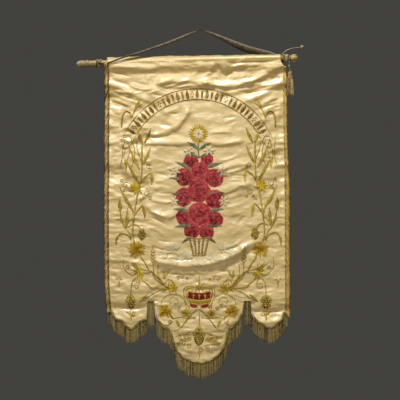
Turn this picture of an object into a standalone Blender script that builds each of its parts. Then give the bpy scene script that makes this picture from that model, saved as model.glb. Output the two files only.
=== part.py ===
"""A church banner on its pole, hung from a flat tape over a nail.

Tables and sizes are in millimetres and are turned into metres as each mesh is made. +Z is up, the
front of the banner faces -Y, and the origin is where the tape goes over its nail.
"""

import math

import bmesh
import bpy
from mathutils import Matrix, Vector

MM = 0.001
GAP = 0.3

# The pole, its right end slightly higher
ROD_RADIUS = 14.5
ROD_HEIGHT = -137.5
ROD_SLOPE = 0.0275
ROD_LEFT = -491.2
ROD_RIGHT = 391.5
ROD_SIDES = 24

# The cloth, a sheet that loops over the pole and is sewn to its own back
CLOTH_THICKNESS = 2.0
LOOP_RADIUS = 19.5
LOOP_STEPS = 8
LOOP_TOP = ((-420, 25.8), (-158, 24.2), (0, 21.7), (348, 17.9))
SEAM_DROP = 60.0
BACK_DROP = 30.0
FRONT_DROPS = (14.0, 28.0, 42.0)
TUCK_START = 18.0
TUCK_LENGTH = 38.0
HANG_DEPTH = -6.0
MARGIN = 11.5
MAIN_ROWS = 29
SLIT_TOP = -1195.0
HEM_BAND = 10.0
LOBE_ROWS = 3
CENTRE_ROWS = 5

# Side edges as (z, x), from the top down
LEFT_EDGE = ((-100, -412.0), (-900, -415.0), (-1100, -413.0), (-1200, -407.5), (-1240, -404.5))
RIGHT_EDGE = ((-145, 350.0), (-168, 367.0), (-500, 371.5), (-620, 377.0), (-1250, 379.0))

# The hem of each lobe as (x, z)
LEFT_HEM = (
    (-404.5, -1236.0),
    (-394.0, -1237.0),
    (-382.0, -1272.5),
    (-348.0, -1284.0),
    (-332.0, -1307.5),
    (-310.0, -1318.5),
    (-288.0, -1310.5),
    (-269.0, -1287.0),
    (-239.0, -1276.0),
)
CENTRE_HEM = (
    (-201.5, -1262.0),
    (-188.0, -1286.0),
    (-170.0, -1311.0),
    (-137.0, -1322.0),
    (-129.0, -1355.0),
    (-115.0, -1394.0),
    (-97.0, -1428.0),
    (-66.0, -1453.0),
    (-4.0, -1469.0),
    (40.0, -1457.0),
    (72.0, -1436.0),
    (98.0, -1406.0),
    (112.0, -1374.0),
    (119.0, -1324.0),
    (160.0, -1294.0),
    (182.0, -1253.0),
)
RIGHT_HEM = (
    (222.0, -1253.0),
    (239.0, -1278.0),
    (262.0, -1294.0),
    (287.0, -1310.0),
    (313.0, -1313.0),
    (334.0, -1295.5),
    (356.0, -1277.0),
    (367.5, -1247.0),
    (378.5, -1246.0),
)
LEFT_SLIT = (-234.5, -206.8)
RIGHT_SLIT = (190.2, 218.7)

# Main folds as (start x, z, middle x, z, end x, z, half width, lift towards the front)
FOLDS = (
    (-180, -240, -92, -218, 18, -236, 14, 6),
    (18, -236, 166, -278, 348, -166, 14, 8),
    (-158, -266, -48, -266, 62, -268, 13, -3),
    (106, -292, 200, -304, 330, -214, 15, -5),
    (-409, -240, -334, -262, -246, -310, 15, 6),
    (-400, -297, -334, -325, -262, -345, 14, -5),
    (216, -310, 290, -278, 365, -231, 15, 6),
    (-224, -458, -110, -462, -57, -363, 16, 7),
    (-238, -502, -145, -489, -44, -502, 13, 6),
    (22, -496, 92, -503, 172, -495, 13, 6),
    (92, -616, 150, -592, 216, -592, 15, 6),
    (66, -720, 128, -698, 216, -674, 15, 5),
    (-233, -780, -158, -860, -75, -772, 16, 6),
    (-189, -1020, 20, -1072, 184, -966, 16, 10),
    (-167, -1073, 30, -1120, 168, -1012, 14, -5),
    (-409, -1142, -321, -1150, -224, -1136, 26, 6),
    (-409, -1226, -321, -1234, -238, -1216, 26, -9),
    (216, -1180, 295, -1184, 378, -1172, 20, 5),
    (220, -1243, 295, -1246, 378, -1230, 21, -9),
    (-158, -1298, -4, -1352, 150, -1286, 24, 5),
    (-90, -1392, 0, -1412, 90, -1384, 18, 4),
)
FOLD_STEPS = 8
WAVE_HEIGHT = 5.0
WAVE_LENGTH = 310.0
WAVE_TOP = -700.0
WAVE_FULL = -1300.0

# The bands sewn up the sides
TRIM_WIDTH = 24.0
TRIM_NARROW = 17.0
TRIM_OVERHANG = 15.5
TRIM_OVERHANG_TOP = 11.0
TRIM_HEIGHT = 5.0
TRIM_TWIST = 3.0

# The fringe: strands that hang from narrow strips behind the hem
FRINGE_RISE = 7.0
FRINGE_FALL = 1.2
FRINGE_THICKNESS = 2.4
FRINGE_GAP = 1.0
STRAND_FILL = 0.64
STRAND_TAPER = 0.8
STRAND_LENGTH = 68.0
SLIT_STRAND_LENGTH = 118.0
STRAND_PITCH = 4.9

# The flat tape: one row for each bend, its turn in degrees from facing forwards
TAPE_THICKNESS = 1.6
TAPE_COLUMNS = 2
TAPE = (
    {"x": -448.0, "y": -19.5, "z": -150.8, "width": 7.0, "turn": 0},
    {"x": -430.0, "y": -23.5, "z": -153.2, "width": 7.0, "turn": 5},
    {"x": -412.0, "y": -26.2, "z": -153.8, "width": 7.0, "turn": 15},
    {"x": -369.6, "y": -26.6, "z": -138.6, "width": 8.0, "turn": 25},
    {"x": -325.6, "y": -27.0, "z": -122.6, "width": 10.0, "turn": 40},
    {"x": -286.4, "y": -25.0, "z": -112.2, "width": 14.0, "turn": 65},
    {"x": -227.5, "y": -20.0, "z": -92.0, "width": 20.0, "turn": 72},
    {"x": -149.6, "y": -11.0, "z": -63.8, "width": 26.0, "turn": 82},
    {"x": -80.0, "y": -4.5, "z": -34.0, "width": 28.0, "turn": 86},
    {"x": -20.0, "y": -0.5, "z": -7.0, "width": 29.0, "turn": 90},
    {"x": 0.0, "y": 0.0, "z": -0.8, "width": 29.0, "turn": 90},
    {"x": 20.0, "y": 0.5, "z": -5.5, "width": 29.0, "turn": 90},
    {"x": 74.8, "y": 4.0, "z": -28.4, "width": 29.0, "turn": 80},
    {"x": 124.5, "y": 9.0, "z": -50.0, "width": 29.0, "turn": 38},
    {"x": 167.2, "y": 15.0, "z": -70.2, "width": 30.0, "turn": 6},
    {"x": 213.8, "y": 23.0, "z": -86.6, "width": 30.0, "turn": -4},
    {"x": 262.0, "y": 26.0, "z": -99.2, "width": 27.0, "turn": -6},
    {"x": 310.0, "y": 26.0, "z": -109.5, "width": 20.0, "turn": -4},
    {"x": 343.2, "y": 25.0, "z": -117.8, "width": 13.0, "turn": 0},
    {"x": 371.0, "y": 19.7, "z": -126.6, "width": 9.0, "turn": 0},
)

# Cord wound round the pole beside the cloth
WINDING_TURNS = 6
WINDING_STEPS = 16
WINDING_BORE = (ROD_RADIUS + GAP) / math.cos(math.pi / WINDING_STEPS)
WINDING_VALLEY = 16.8
WINDING_PEAK = 18.8
LEFT_WINDING = (-462.0, -433.5)
RIGHT_WINDING = (356.0, 388.0)

# Turned ends of the pole as (distance along the pole, radius)
LEFT_FINIAL = (
    (0.0, 0.0),
    (0.0, 13.2),
    (-1.5, 13.2),
    (-3.0, 16.4),
    (-9.0, 17.0),
    (-20.0, 15.6),
    (-31.0, 16.8),
    (-41.0, 16.2),
    (-43.0, 14.4),
    (-50.0, 11.4),
    (-55.0, 6.4),
    (-57.0, 0.0),
)
LEFT_FINIAL_START = ROD_LEFT - GAP
BALL_RADIUS = 18.5
BALL_SEAT = 8.0
BALL_STEPS = 9
FINIAL_SIDES = 20

# The long pin with a bead at its end, stuck into the right winding
PIN_RADIUS = 1.4
PIN_ROUTE = (
    (357.2, -3.0, -108.2),
    (366.0, -3.4, -99.6),
    (376.0, -3.6, -92.4),
    (389.4, -3.4, -86.0),
    (408.0, -2.6, -81.8),
    (434.2, -2.0, -79.2),
)
PIN_BEAD_RADIUS = 9.5

# The tassel
TASSEL_CORD_RADIUS = 1.8
TASSEL_CORD = (
    (386.0, -13.4, -140.7, 1.0),
    (386.2, -18.4, -147.0, 1.0),
    (386.4, -21.0, -153.5, 1.0),
    (386.2, -22.2, -159.0, 1.2),
    (386.0, -22.8, -161.5, 2.4),
    (386.0, -23.0, -164.5, 2.7),
    (386.2, -23.2, -167.5, 2.2),
    (386.6, -23.6, -170.5, 1.1),
    (387.6, -24.0, -178.5, 1.0),
    (388.8, -24.2, -186.45, 1.0),
)
TASSEL_TOP = Vector((389.4, -24.5, -186.5))
TASSEL_PROFILE = (
    (0.0, 0.0),
    (4.5, -0.6),
    (9.0, -4.4),
    (11.0, -11.0),
    (9.0, -18.5),
    (10.2, -22.5),
    (13.6, -27.0),
    (14.0, -34.0),
    (9.5, -34.0),
    (0.0, -28.0),
)
TASSEL_STRANDS = 20
TASSEL_SKIRT_LENGTH = 78.0
TASSEL_SKIRT_TOP = -19.0
TASSEL_WIDEN = 1.14
TASSEL_FLATTEN = 0.66
TASSEL_SHIFT = 1.4

# Finishes as (red, green, blue, roughness, metallic)
SATIN = ("satin", 0.78, 0.66, 0.42, 0.42, 0.0)
FRINGE_THREAD = ("fringe_thread", 0.30, 0.25, 0.15, 0.62, 0.25)
GOLD_BRAID = ("gold_braid", 0.42, 0.31, 0.11, 0.50, 0.35)
TURNED_WOOD = ("turned_wood", 0.45, 0.31, 0.15, 0.45, 0.0)
TAPE_WEB = ("tape_web", 0.17, 0.14, 0.11, 0.85, 0.0)
CORD_THREAD = ("cord_thread", 0.34, 0.29, 0.21, 0.75, 0.0)
GILT = ("gilt", 0.62, 0.47, 0.20, 0.35, 0.9)


def clear_scene():
    for item in list(bpy.data.objects):
        bpy.data.objects.remove(item, do_unlink=True)


def make_collection():
    collection = bpy.data.collections.new("church_banner")
    bpy.context.scene.collection.children.link(collection)
    return collection


def finish_material(finish):
    name, red, green, blue, roughness, metallic = finish
    material = bpy.data.materials.get(name) or bpy.data.materials.new(name)
    material.use_nodes = True
    shader = material.node_tree.nodes["Principled BSDF"]
    shader.inputs["Base Color"].default_value = (red, green, blue, 1.0)
    shader.inputs["Roughness"].default_value = roughness
    shader.inputs["Metallic"].default_value = metallic
    return material


def add_object(name, data, finish, collection):
    item = bpy.data.objects.new(name, data)
    data.materials.append(finish_material(finish))
    collection.objects.link(item)
    return item


def adopt(item, name, finish, collection):
    item.name = name
    item.data.name = name
    item.data.materials.append(finish_material(finish))
    for owner in list(item.users_collection):
        owner.objects.unlink(item)
    collection.objects.link(item)
    return item


def smooth(mesh, angle=40.0):
    mesh.shade_smooth()
    mesh.set_sharp_from_angle(angle=math.radians(angle))


def lerp(a, b, t):
    return a + (b - a) * t


def ease(t):
    t = min(max(t, 0.0), 1.0)
    return t * t * (3.0 - 2.0 * t)


def from_table(table, at):
    """The second column of a table at a value of its first, straight between the rows."""
    rows = sorted(table)
    if at <= rows[0][0]:
        return rows[0][1]
    for (a, first), (b, second) in zip(rows, rows[1:]):
        if at <= b:
            return lerp(first, second, (at - a) / (b - a))
    return rows[-1][1]


def rod_height(x):
    return ROD_HEIGHT + ROD_SLOPE * x


def on_rod(along):
    """Matrix that turns local +Z along the pole, at a distance along X."""
    tilt = math.atan(ROD_SLOPE)
    place = Matrix.Translation(Vector((along, 0.0, rod_height(along))) * MM)
    return place @ Matrix.Rotation(math.pi / 2 - tilt, 4, "Y")


def crease_distance(fold, x, z):
    """How far a point of the sheet is from a fold's line."""
    ax, az, bx, bz, cx, cz = fold[:6]
    nearest = None
    last = (ax, az)
    for step in range(1, FOLD_STEPS + 1):
        t = step / FOLD_STEPS
        px = (1 - t) ** 2 * ax + 2 * t * (1 - t) * bx + t * t * cx
        pz = (1 - t) ** 2 * az + 2 * t * (1 - t) * bz + t * t * cz
        run_x = px - last[0]
        run_z = pz - last[1]
        reach = run_x * run_x + run_z * run_z
        along = min(max(((x - last[0]) * run_x + (z - last[1]) * run_z) / reach, 0.0), 1.0)
        gap = math.hypot(x - last[0] - along * run_x, z - last[1] - along * run_z)
        nearest = gap if nearest is None else min(nearest, gap)
        last = (px, pz)
    return nearest


def sheet_depth(x, z):
    """Depth of the middle of the hanging sheet at a place on it, level across its margins."""
    x = max(x, from_table(LEFT_EDGE, z) + MARGIN)
    x = min(x, from_table(RIGHT_EDGE, z) - MARGIN)
    tuck = ease((rod_height(x) - z - TUCK_START) / TUCK_LENGTH)
    depth = lerp(-LOOP_RADIUS, HANG_DEPTH, tuck)
    for fold in FOLDS:
        half_width, lift = fold[6:]
        depth -= tuck * lift * math.exp(-((crease_distance(fold, x, z) / half_width) ** 2))
    full = ease((z - WAVE_TOP) / (WAVE_FULL - WAVE_TOP))
    return depth - full * WAVE_HEIGHT * math.sin(2 * math.pi * x / WAVE_LENGTH + 0.8)


def across():
    """Share of the width at each column, with column lines at the margins and beside each slit."""
    left = from_table(LEFT_EDGE, SLIT_TOP)
    right = from_table(RIGHT_EDGE, SLIT_TOP)
    width = right - left
    stops = (left, left + MARGIN, *LEFT_SLIT, *RIGHT_SLIT, right - MARGIN, right)
    counts = (1, len(LEFT_HEM) - 2, 1, len(CENTRE_HEM) - 1, 1, len(RIGHT_HEM) - 2, 1)
    shares = [0.0]
    for start, end, count in zip(stops, stops[1:], counts):
        for step in range(1, count + 1):
            shares.append((lerp(start, end, step / count) - left) / width)
    return shares


def sheet_x(share, z):
    return lerp(from_table(LEFT_EDGE, z), from_table(RIGHT_EDGE, z), share)


def main_rows(shares):
    """Points of the sheet from its back hem, over the pole and down to the tops of the slits."""

    def row(drop, depth):
        points = []
        for share in shares:
            x = sheet_x(share, ROD_HEIGHT - drop)
            z = rod_height(x) - drop
            points.append(Vector((x, depth(x, z), z)))
        return points

    def hem_depth(x, z):
        return sheet_depth(x, z) + CLOTH_THICKNESS + GAP

    def back_depth(x, z):
        hem = hem_depth(x, rod_height(x) - SEAM_DROP)
        return lerp(LOOP_RADIUS, hem, BACK_DROP / SEAM_DROP)

    rows = [row(SEAM_DROP, hem_depth), row(BACK_DROP, back_depth)]
    for step in range(LOOP_STEPS + 1):
        angle = math.pi * step / LOOP_STEPS
        points = []
        for share in shares:
            x = sheet_x(share, 0.0)
            top = from_table(LOOP_TOP, x)
            z = rod_height(x) + top * math.sin(angle)
            points.append(Vector((x, LOOP_RADIUS * math.cos(angle), z)))
        rows.append(points)
    for drop in FRONT_DROPS + (SEAM_DROP,):
        rows.append(row(drop, sheet_depth))
    for step in range(1, MAIN_ROWS + 2):
        points = []
        for share in shares:
            start = rod_height(sheet_x(share, ROD_HEIGHT)) - SEAM_DROP
            z = lerp(start, SLIT_TOP + HEM_BAND, step / MAIN_ROWS)
            if step > MAIN_ROWS:
                z = SLIT_TOP
            x = sheet_x(share, z)
            points.append(Vector((x, sheet_depth(x, z), z)))
        rows.append(points)
    return rows


def lobe_rows(top, hem, count):
    """Rows of a lobe below its top row, the last two a narrow band along the hem."""
    rows = [top]
    for step in range(1, count + 2):
        points = []
        for start, (x, z) in zip(top, hem):
            share = min(step / count, 1.0)
            low = z + HEM_BAND if step <= count else z
            reach = share if step <= count else 1.0
            px = lerp(start.x, x, reach)
            pz = lerp(start.z, low, reach)
            points.append(Vector((px, sheet_depth(px, pz), pz)))
        rows.append(points)
    return rows


def banner_sheet():
    """Rows of the whole sheet and of its three lobes."""
    shares = across()
    main = main_rows(shares)
    left_end = len(LEFT_HEM)
    centre_start = left_end
    centre_end = centre_start + len(CENTRE_HEM)
    lobes = {
        "left": lobe_rows(main[-1][:left_end], LEFT_HEM, LOBE_ROWS),
        "centre": lobe_rows(main[-1][centre_start:centre_end], CENTRE_HEM, CENTRE_ROWS),
        "right": lobe_rows(main[-1][centre_end:], RIGHT_HEM, LOBE_ROWS),
    }
    return main, lobes


def add_grid(form, rows, first=None):
    """Quads between rows of points, on the vertices of a first row that is already there."""
    above = first or [form.verts.new(point * MM) for point in rows[0]]
    start = above
    for points in rows[1:]:
        below = [form.verts.new(point * MM) for point in points]
        for i in range(len(above) - 1):
            form.faces.new((above[i], below[i], below[i + 1], above[i + 1]))
        above = below
    return start, above


def make_cloth(main, lobes, collection):
    form = bmesh.new()
    _, foot = add_grid(form, main)
    start = 0
    for rows in (lobes["left"], lobes["centre"], lobes["right"]):
        end = start + len(rows[0])
        add_grid(form, rows, foot[start:end])
        start = end
    mesh = bpy.data.meshes.new("banner_cloth")
    form.to_mesh(mesh)
    form.free()
    smooth(mesh, 60.0)
    cloth = add_object("banner_cloth", mesh, SATIN, collection)
    solid = cloth.modifiers.new("thickness", "SOLIDIFY")
    solid.thickness = CLOTH_THICKNESS * MM
    solid.offset = 0.0
    solid.use_even_offset = True
    return cloth


def edge_path(main, lobe, side):
    """Places down one side edge of the sheet, from just under the pole to the hem."""
    first = 2 + LOOP_STEPS + 1 + 1
    points = [row[side] for row in main[first:]]
    return points + [row[side] for row in lobe[1:]]


def make_trim(name, points, outwards, collection):
    """A raised band along a side edge of the sheet, its face in slanting turns."""
    form = bmesh.new()
    rings = []
    for k, point in enumerate(points):
        top = ease((point.z + 700.0) / 200.0) if outwards > 0 else 0.0
        overhang = lerp(TRIM_OVERHANG, TRIM_OVERHANG_TOP, top)
        width = lerp(TRIM_WIDTH, TRIM_NARROW, top)
        outer = point.x + outwards * overhang
        inner = outer - outwards * width
        back = point.y - CLOTH_THICKNESS / 2 - 2 * GAP
        turn = TRIM_TWIST if k % 2 else -TRIM_TWIST
        middle = (inner + outer) / 2 + turn
        height = TRIM_HEIGHT - (0.0 if k % 2 else 1.0)
        section = (
            (outer, back, 0.0),
            (outer, back - 0.45 * height, 0.0),
            (middle, back - height, turn),
            (inner, back - 0.45 * height, 0.0),
            (inner, back, 0.0),
        )
        rings.append([form.verts.new(Vector((x, y, point.z + lean)) * MM) for x, y, lean in section])
    for above, below in zip(rings, rings[1:]):
        for i in range(len(above)):
            j = (i + 1) % len(above)
            form.faces.new((above[i], above[j], below[j], below[i]))
    form.faces.new(rings[0])
    form.faces.new(rings[-1])
    bmesh.ops.recalc_face_normals(form, faces=form.faces)
    mesh = bpy.data.meshes.new(name)
    form.to_mesh(mesh)
    form.free()
    smooth(mesh)
    return add_object(name, mesh, GOLD_BRAID, collection)


def band_place(rows, x, up):
    """Depth and height of the sheet at x, a little above its last row."""
    hem = rows[-1]
    above = rows[-2]
    for i in range(len(hem) - 1):
        if x <= hem[i + 1].x or i == len(hem) - 2:
            share = (x - hem[i].x) / (hem[i + 1].x - hem[i].x)
            low = hem[i].lerp(hem[i + 1], share)
            high = above[i].lerp(above[i + 1], share)
            return lerp(low.y, high.y, up / (high.z - low.z)), low.z + up
    return hem[-1].y, hem[-1].z


def make_fringe(name, rows, start, end, length, collection):
    """A comb: a narrow strip behind the hem with a strand below each of its teeth."""
    count = max(2, round((end - start) / STRAND_PITCH))
    pitch = (end - start) / count
    front = CLOTH_THICKNESS / 2 + FRINGE_GAP
    back = front + FRINGE_THICKNESS
    form = bmesh.new()
    lines = []
    for k in range(count):
        for share in (0.5 - STRAND_FILL / 2, 0.5 + STRAND_FILL / 2):
            x = start + (k + share) * pitch
            high_y, high_z = band_place(rows, x, FRINGE_RISE)
            low_y, low_z = band_place(rows, x, -FRINGE_FALL)
            corners = (
                (x, high_y + front, high_z),
                (x, low_y + front, low_z),
                (x, low_y + back, low_z),
                (x, high_y + back, high_z),
            )
            lines.append([form.verts.new(Vector(corner) * MM) for corner in corners])
    teeth = []
    for k, (near, far) in enumerate(zip(lines, lines[1:])):
        for i in range(4):
            j = (i + 1) % 4
            face = form.faces.new((near[i], near[j], far[j], far[i]))
            if i == 1 and k % 2 == 0:
                teeth.append((k // 2, face))
    form.faces.new(lines[0])
    form.faces.new(lines[-1])
    bmesh.ops.recalc_face_normals(form, faces=form.faces)
    for k, face in teeth:
        tip = bmesh.ops.extrude_discrete_faces(form, faces=[face])["faces"][0]
        middle = tip.calc_center_median()
        x = start + (k + 0.5) * pitch
        sway = 3.0 * math.sin(x / 23.0) + 1.2 * math.sin(x / 7.0)
        reach = length * (1.0 + 0.035 * math.sin(x / 9.0) + 0.03 * math.sin(k * 2.4))
        for corner in tip.verts:
            offset = corner.co - middle
            corner.co = middle + offset * STRAND_TAPER
            corner.co.z = middle.z
            corner.co += Vector((sway, 1.5 * math.sin(x / 31.0), -reach)) * MM
    mesh = bpy.data.meshes.new(name)
    form.to_mesh(mesh)
    form.free()
    return add_object(name, mesh, FRINGE_THREAD, collection)


def make_tape(collection):
    """The flat tape as a strip of points turned about its run."""
    form = bmesh.new()
    places = [Vector((row["x"], row["y"], row["z"])) for row in TAPE]
    rows = []
    for i, row in enumerate(TAPE):
        run = (places[min(i + 1, len(TAPE) - 1)] - places[max(i - 1, 0)]).normalized()
        side = run.cross(Vector((0.0, 1.0, 0.0))).normalized()
        face = side.cross(run).normalized()
        turn = math.radians(row["turn"])
        width = side * math.cos(turn) + face * math.sin(turn)
        points = []
        for k in range(TAPE_COLUMNS + 1):
            share = k / TAPE_COLUMNS - 0.5
            points.append(places[i] + width * row["width"] * share)
        rows.append(points)
    add_grid(form, rows)
    mesh = bpy.data.meshes.new("hanging_tape")
    form.to_mesh(mesh)
    form.free()
    smooth(mesh, 60.0)
    tape = add_object("hanging_tape", mesh, TAPE_WEB, collection)
    solid = tape.modifiers.new("thickness", "SOLIDIFY")
    solid.thickness = TAPE_THICKNESS * MM
    solid.offset = 0.0
    solid.use_even_offset = True
    return tape


def turned(name, profile, sides, place, finish, collection, closed=False):
    """A turned shape: a profile of (radius, height) points with a Screw modifier."""
    mesh = bpy.data.meshes.new(name)
    points = [(radius * MM, 0.0, height * MM) for radius, height in profile]
    edges = [(i, i + 1) for i in range(len(points) - 1)]
    if closed:
        edges.append((len(points) - 1, 0))
    mesh.from_pydata(points, edges, [])
    item = add_object(name, mesh, finish, collection)
    screw = item.modifiers.new("turn", "SCREW")
    screw.steps = sides
    screw.render_steps = sides
    screw.axis = "Z"
    screw.use_merge_vertices = True
    screw.merge_threshold = 0.00005
    screw.use_smooth_shade = True
    item.matrix_world = place
    return item


def make_rod(collection):
    middle = (ROD_LEFT + ROD_RIGHT) / 2
    length = (ROD_RIGHT - ROD_LEFT) / math.cos(math.atan(ROD_SLOPE))
    bpy.ops.mesh.primitive_cylinder_add(vertices=ROD_SIDES, radius=ROD_RADIUS * MM, depth=length * MM)
    rod = adopt(bpy.context.object, "rod", TURNED_WOOD, collection)
    rod.matrix_world = on_rod(middle)
    smooth(rod.data)
    return rod


def make_finials(collection):
    profile = [(radius, along) for along, radius in LEFT_FINIAL]
    turned("finial_left", profile, FINIAL_SIDES, on_rod(LEFT_FINIAL_START), TURNED_WOOD, collection)
    reach = math.sqrt(BALL_RADIUS**2 - BALL_SEAT**2)
    start = math.acos(-reach / BALL_RADIUS)
    ball = []
    for step in range(BALL_STEPS + 1):
        angle = start * step / BALL_STEPS
        ball.append((BALL_RADIUS * math.sin(angle), BALL_RADIUS * math.cos(angle)))
    ball.append((0.0, -reach))
    centre = ROD_RIGHT + GAP + reach
    turned("finial_right", ball, FINIAL_SIDES, on_rod(centre), TURNED_WOOD, collection)


def make_winding(name, span, collection):
    """Turns of cord round the pole, as one ridged ring."""
    half = (span[1] - span[0]) / 2
    turn = 2 * half / WINDING_TURNS
    profile = [(WINDING_VALLEY, half)]
    for k in range(WINDING_TURNS):
        profile.append((WINDING_PEAK, half - (k + 0.5) * turn))
        profile.append((WINDING_VALLEY, half - (k + 1) * turn))
    profile.append((WINDING_BORE, -half))
    profile.append((WINDING_BORE, half))
    place = on_rod(span[0] + half)
    return turned(name, profile, WINDING_STEPS, place, CORD_THREAD, collection, closed=True)


def wire(name, route, radius, finish, collection):
    """A round wire through points of (x, y, z) or (x, y, z, share of the radius)."""
    curve = bpy.data.curves.new(name, "CURVE")
    curve.dimensions = "3D"
    curve.bevel_depth = radius * MM
    curve.bevel_resolution = 2
    curve.use_fill_caps = True
    spline = curve.splines.new("POLY")
    spline.points.add(len(route) - 1)
    for point, place in zip(spline.points, route):
        x, y, z = place[:3]
        point.co = (x * MM, y * MM, z * MM, 1.0)
        point.radius = place[3] if len(place) > 3 else 1.0
    return add_object(name, curve, finish, collection)


def make_pin(collection):
    wire("pin", PIN_ROUTE, PIN_RADIUS, GILT, collection)
    end = Vector(PIN_ROUTE[-1])
    run = (end - Vector(PIN_ROUTE[-2])).normalized()
    seat = math.sqrt(PIN_BEAD_RADIUS**2 - PIN_RADIUS**2)
    profile = []
    steps = 8
    low = math.asin(PIN_RADIUS / PIN_BEAD_RADIUS)
    for step in range(steps + 1):
        angle = (math.pi - low) * step / steps
        profile.append((PIN_BEAD_RADIUS * math.sin(angle), PIN_BEAD_RADIUS * math.cos(angle)))
    profile.append((0.0, -seat))
    centre = end + run * (seat + GAP)
    place = Matrix.Translation(centre * MM) @ run.to_track_quat("Z", "Y").to_matrix().to_4x4()
    turned("pin_bead", profile, 14, place, GILT, collection)


def make_tassel(collection):
    """A tied head and a ring of strands, the skirt an oval."""
    form = bmesh.new()
    verts = [form.verts.new((radius * MM, 0.0, height * MM)) for radius, height in TASSEL_PROFILE]
    edges = [form.edges.new(pair) for pair in zip(verts, verts[1:])]
    sides = 2 * TASSEL_STRANDS
    bmesh.ops.spin(
        form,
        geom=verts + edges,
        axis=(0, 0, 1),
        cent=(0, 0, 0),
        angle=2 * math.pi,
        steps=sides,
        use_merge=True,
    )
    bmesh.ops.remove_doubles(form, verts=form.verts, dist=0.00002)
    bmesh.ops.recalc_face_normals(form, faces=form.faces)
    rim = TASSEL_PROFILE[-2][1] * MM
    ring = [face for face in form.faces if all(abs(v.co.z - rim) < 1e-6 for v in face.verts)]
    ring.sort(key=lambda face: math.atan2(*face.calc_center_median().yx))
    for k, face in enumerate(ring[::2]):
        tip = bmesh.ops.extrude_discrete_faces(form, faces=[face])["faces"][0]
        middle = tip.calc_center_median()
        reach = TASSEL_SKIRT_LENGTH - 2.5 * math.sin(k * 2.1) ** 2
        for corner in tip.verts:
            corner.co = middle + (corner.co - middle) * 0.9
            corner.co.z = middle.z - reach * MM
            corner.co.x *= 1.06
    for vert in form.verts:
        skirt = ease((TASSEL_SKIRT_TOP * MM - vert.co.z) / (12 * MM))
        vert.co.x = vert.co.x * lerp(1.0, TASSEL_WIDEN, skirt) + skirt * TASSEL_SHIFT * MM
        vert.co.y *= lerp(0.9, TASSEL_FLATTEN, skirt)
    mesh = bpy.data.meshes.new("tassel")
    form.to_mesh(mesh)
    form.free()
    smooth(mesh)
    tassel = add_object("tassel", mesh, GOLD_BRAID, collection)
    tassel.location = (TASSEL_TOP + Vector((0.0, 0.0, -GAP))) * MM
    return tassel


def build():
    clear_scene()
    collection = make_collection()
    main, lobes = banner_sheet()
    make_rod(collection)
    make_finials(collection)
    make_cloth(main, lobes, collection)
    make_trim("side_trim_left", edge_path(main, lobes["left"], 0), -1, collection)
    make_trim("side_trim_right", edge_path(main, lobes["right"], -1), 1, collection)
    make_fringe("fringe_left", lobes["left"], -411.0, -239.5, STRAND_LENGTH, collection)
    make_fringe("fringe_centre", lobes["centre"], -202.0, 183.0, STRAND_LENGTH, collection)
    make_fringe("fringe_right", lobes["right"], 221.0, 389.0, STRAND_LENGTH, collection)
    for name, (start, end) in (("fringe_slit_left", LEFT_SLIT), ("fringe_slit_right", RIGHT_SLIT)):
        make_fringe(name, main, start, end, SLIT_STRAND_LENGTH, collection)
    make_winding("winding_left", LEFT_WINDING, collection)
    make_winding("winding_right", RIGHT_WINDING, collection)
    make_tape(collection)
    make_pin(collection)
    wire("tassel_cord", TASSEL_CORD, TASSEL_CORD_RADIUS, CORD_THREAD, collection)
    make_tassel(collection)


build()
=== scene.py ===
"""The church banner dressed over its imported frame: satin, embroidery, fringe, tape and pole.

Sizes are in millimetres, +Z is up and the banner's front faces -Y. Places on the sheet are given on
a design chart of squares SQUARE wide, counted across from its left side and down from its top.
"""

import math
import random

import bpy
import numpy as np
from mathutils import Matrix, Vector


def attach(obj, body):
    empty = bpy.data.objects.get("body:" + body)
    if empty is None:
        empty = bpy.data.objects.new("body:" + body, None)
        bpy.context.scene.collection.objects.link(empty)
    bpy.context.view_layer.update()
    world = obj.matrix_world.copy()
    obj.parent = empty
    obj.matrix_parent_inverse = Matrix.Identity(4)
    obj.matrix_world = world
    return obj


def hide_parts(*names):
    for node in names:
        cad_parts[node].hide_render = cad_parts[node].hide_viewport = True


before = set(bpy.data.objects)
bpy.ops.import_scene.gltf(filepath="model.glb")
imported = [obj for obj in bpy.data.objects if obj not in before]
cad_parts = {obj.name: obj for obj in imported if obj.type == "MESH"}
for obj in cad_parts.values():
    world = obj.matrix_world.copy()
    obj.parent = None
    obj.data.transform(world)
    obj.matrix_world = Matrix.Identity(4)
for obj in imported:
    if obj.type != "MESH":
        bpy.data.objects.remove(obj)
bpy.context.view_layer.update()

MM = 0.001
SQUARE = 4.4
CHART_MIDDLE = 201.0
CHART_TOP = 29.5
MIRROR = 397.0

# The camera, level with the middle of the chart
CAMERA_PLACE = (-0.0044, -3.5, -0.750)
CAMERA_LENS = 71.6
FLOOR_HEIGHT = -2.4

# The pole and the sheet, as in the solids
ROD_HEIGHT = -137.5
ROD_SLOPE = 0.0275
LOOP_RADIUS = 19.5
CLEAR_RADIUS = 17.4
CLEAR_DROP = 17.0
LOOP_TOP = ((-420, 25.8), (-158, 24.2), (0, 21.7), (348, 17.9))
SEAM_DROP = 60.0
TUCK_START = 18.0
TUCK_LENGTH = 38.0
HANG_DEPTH = -6.0
MARGIN = 11.5
SLIT_TOP = -1195.0
CLOTH_THICKNESS = 1.7
HALF = CLOTH_THICKNESS / 2
LEFT_EDGE = ((-100, -412.0), (-900, -415.0), (-1100, -413.0), (-1200, -407.5), (-1240, -404.5))
RIGHT_EDGE = ((-145, 350.0), (-168, 367.0), (-500, 371.5), (-620, 377.0), (-1250, 379.0))
LEFT_HEM = (
    (-404.5, -1236.0),
    (-394.0, -1243.0),
    (-382.0, -1270.0),
    (-348.0, -1286.0),
    (-332.0, -1305.0),
    (-310.0, -1317.5),
    (-288.0, -1309.5),
    (-269.0, -1287.0),
    (-239.0, -1276.0),
)
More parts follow.
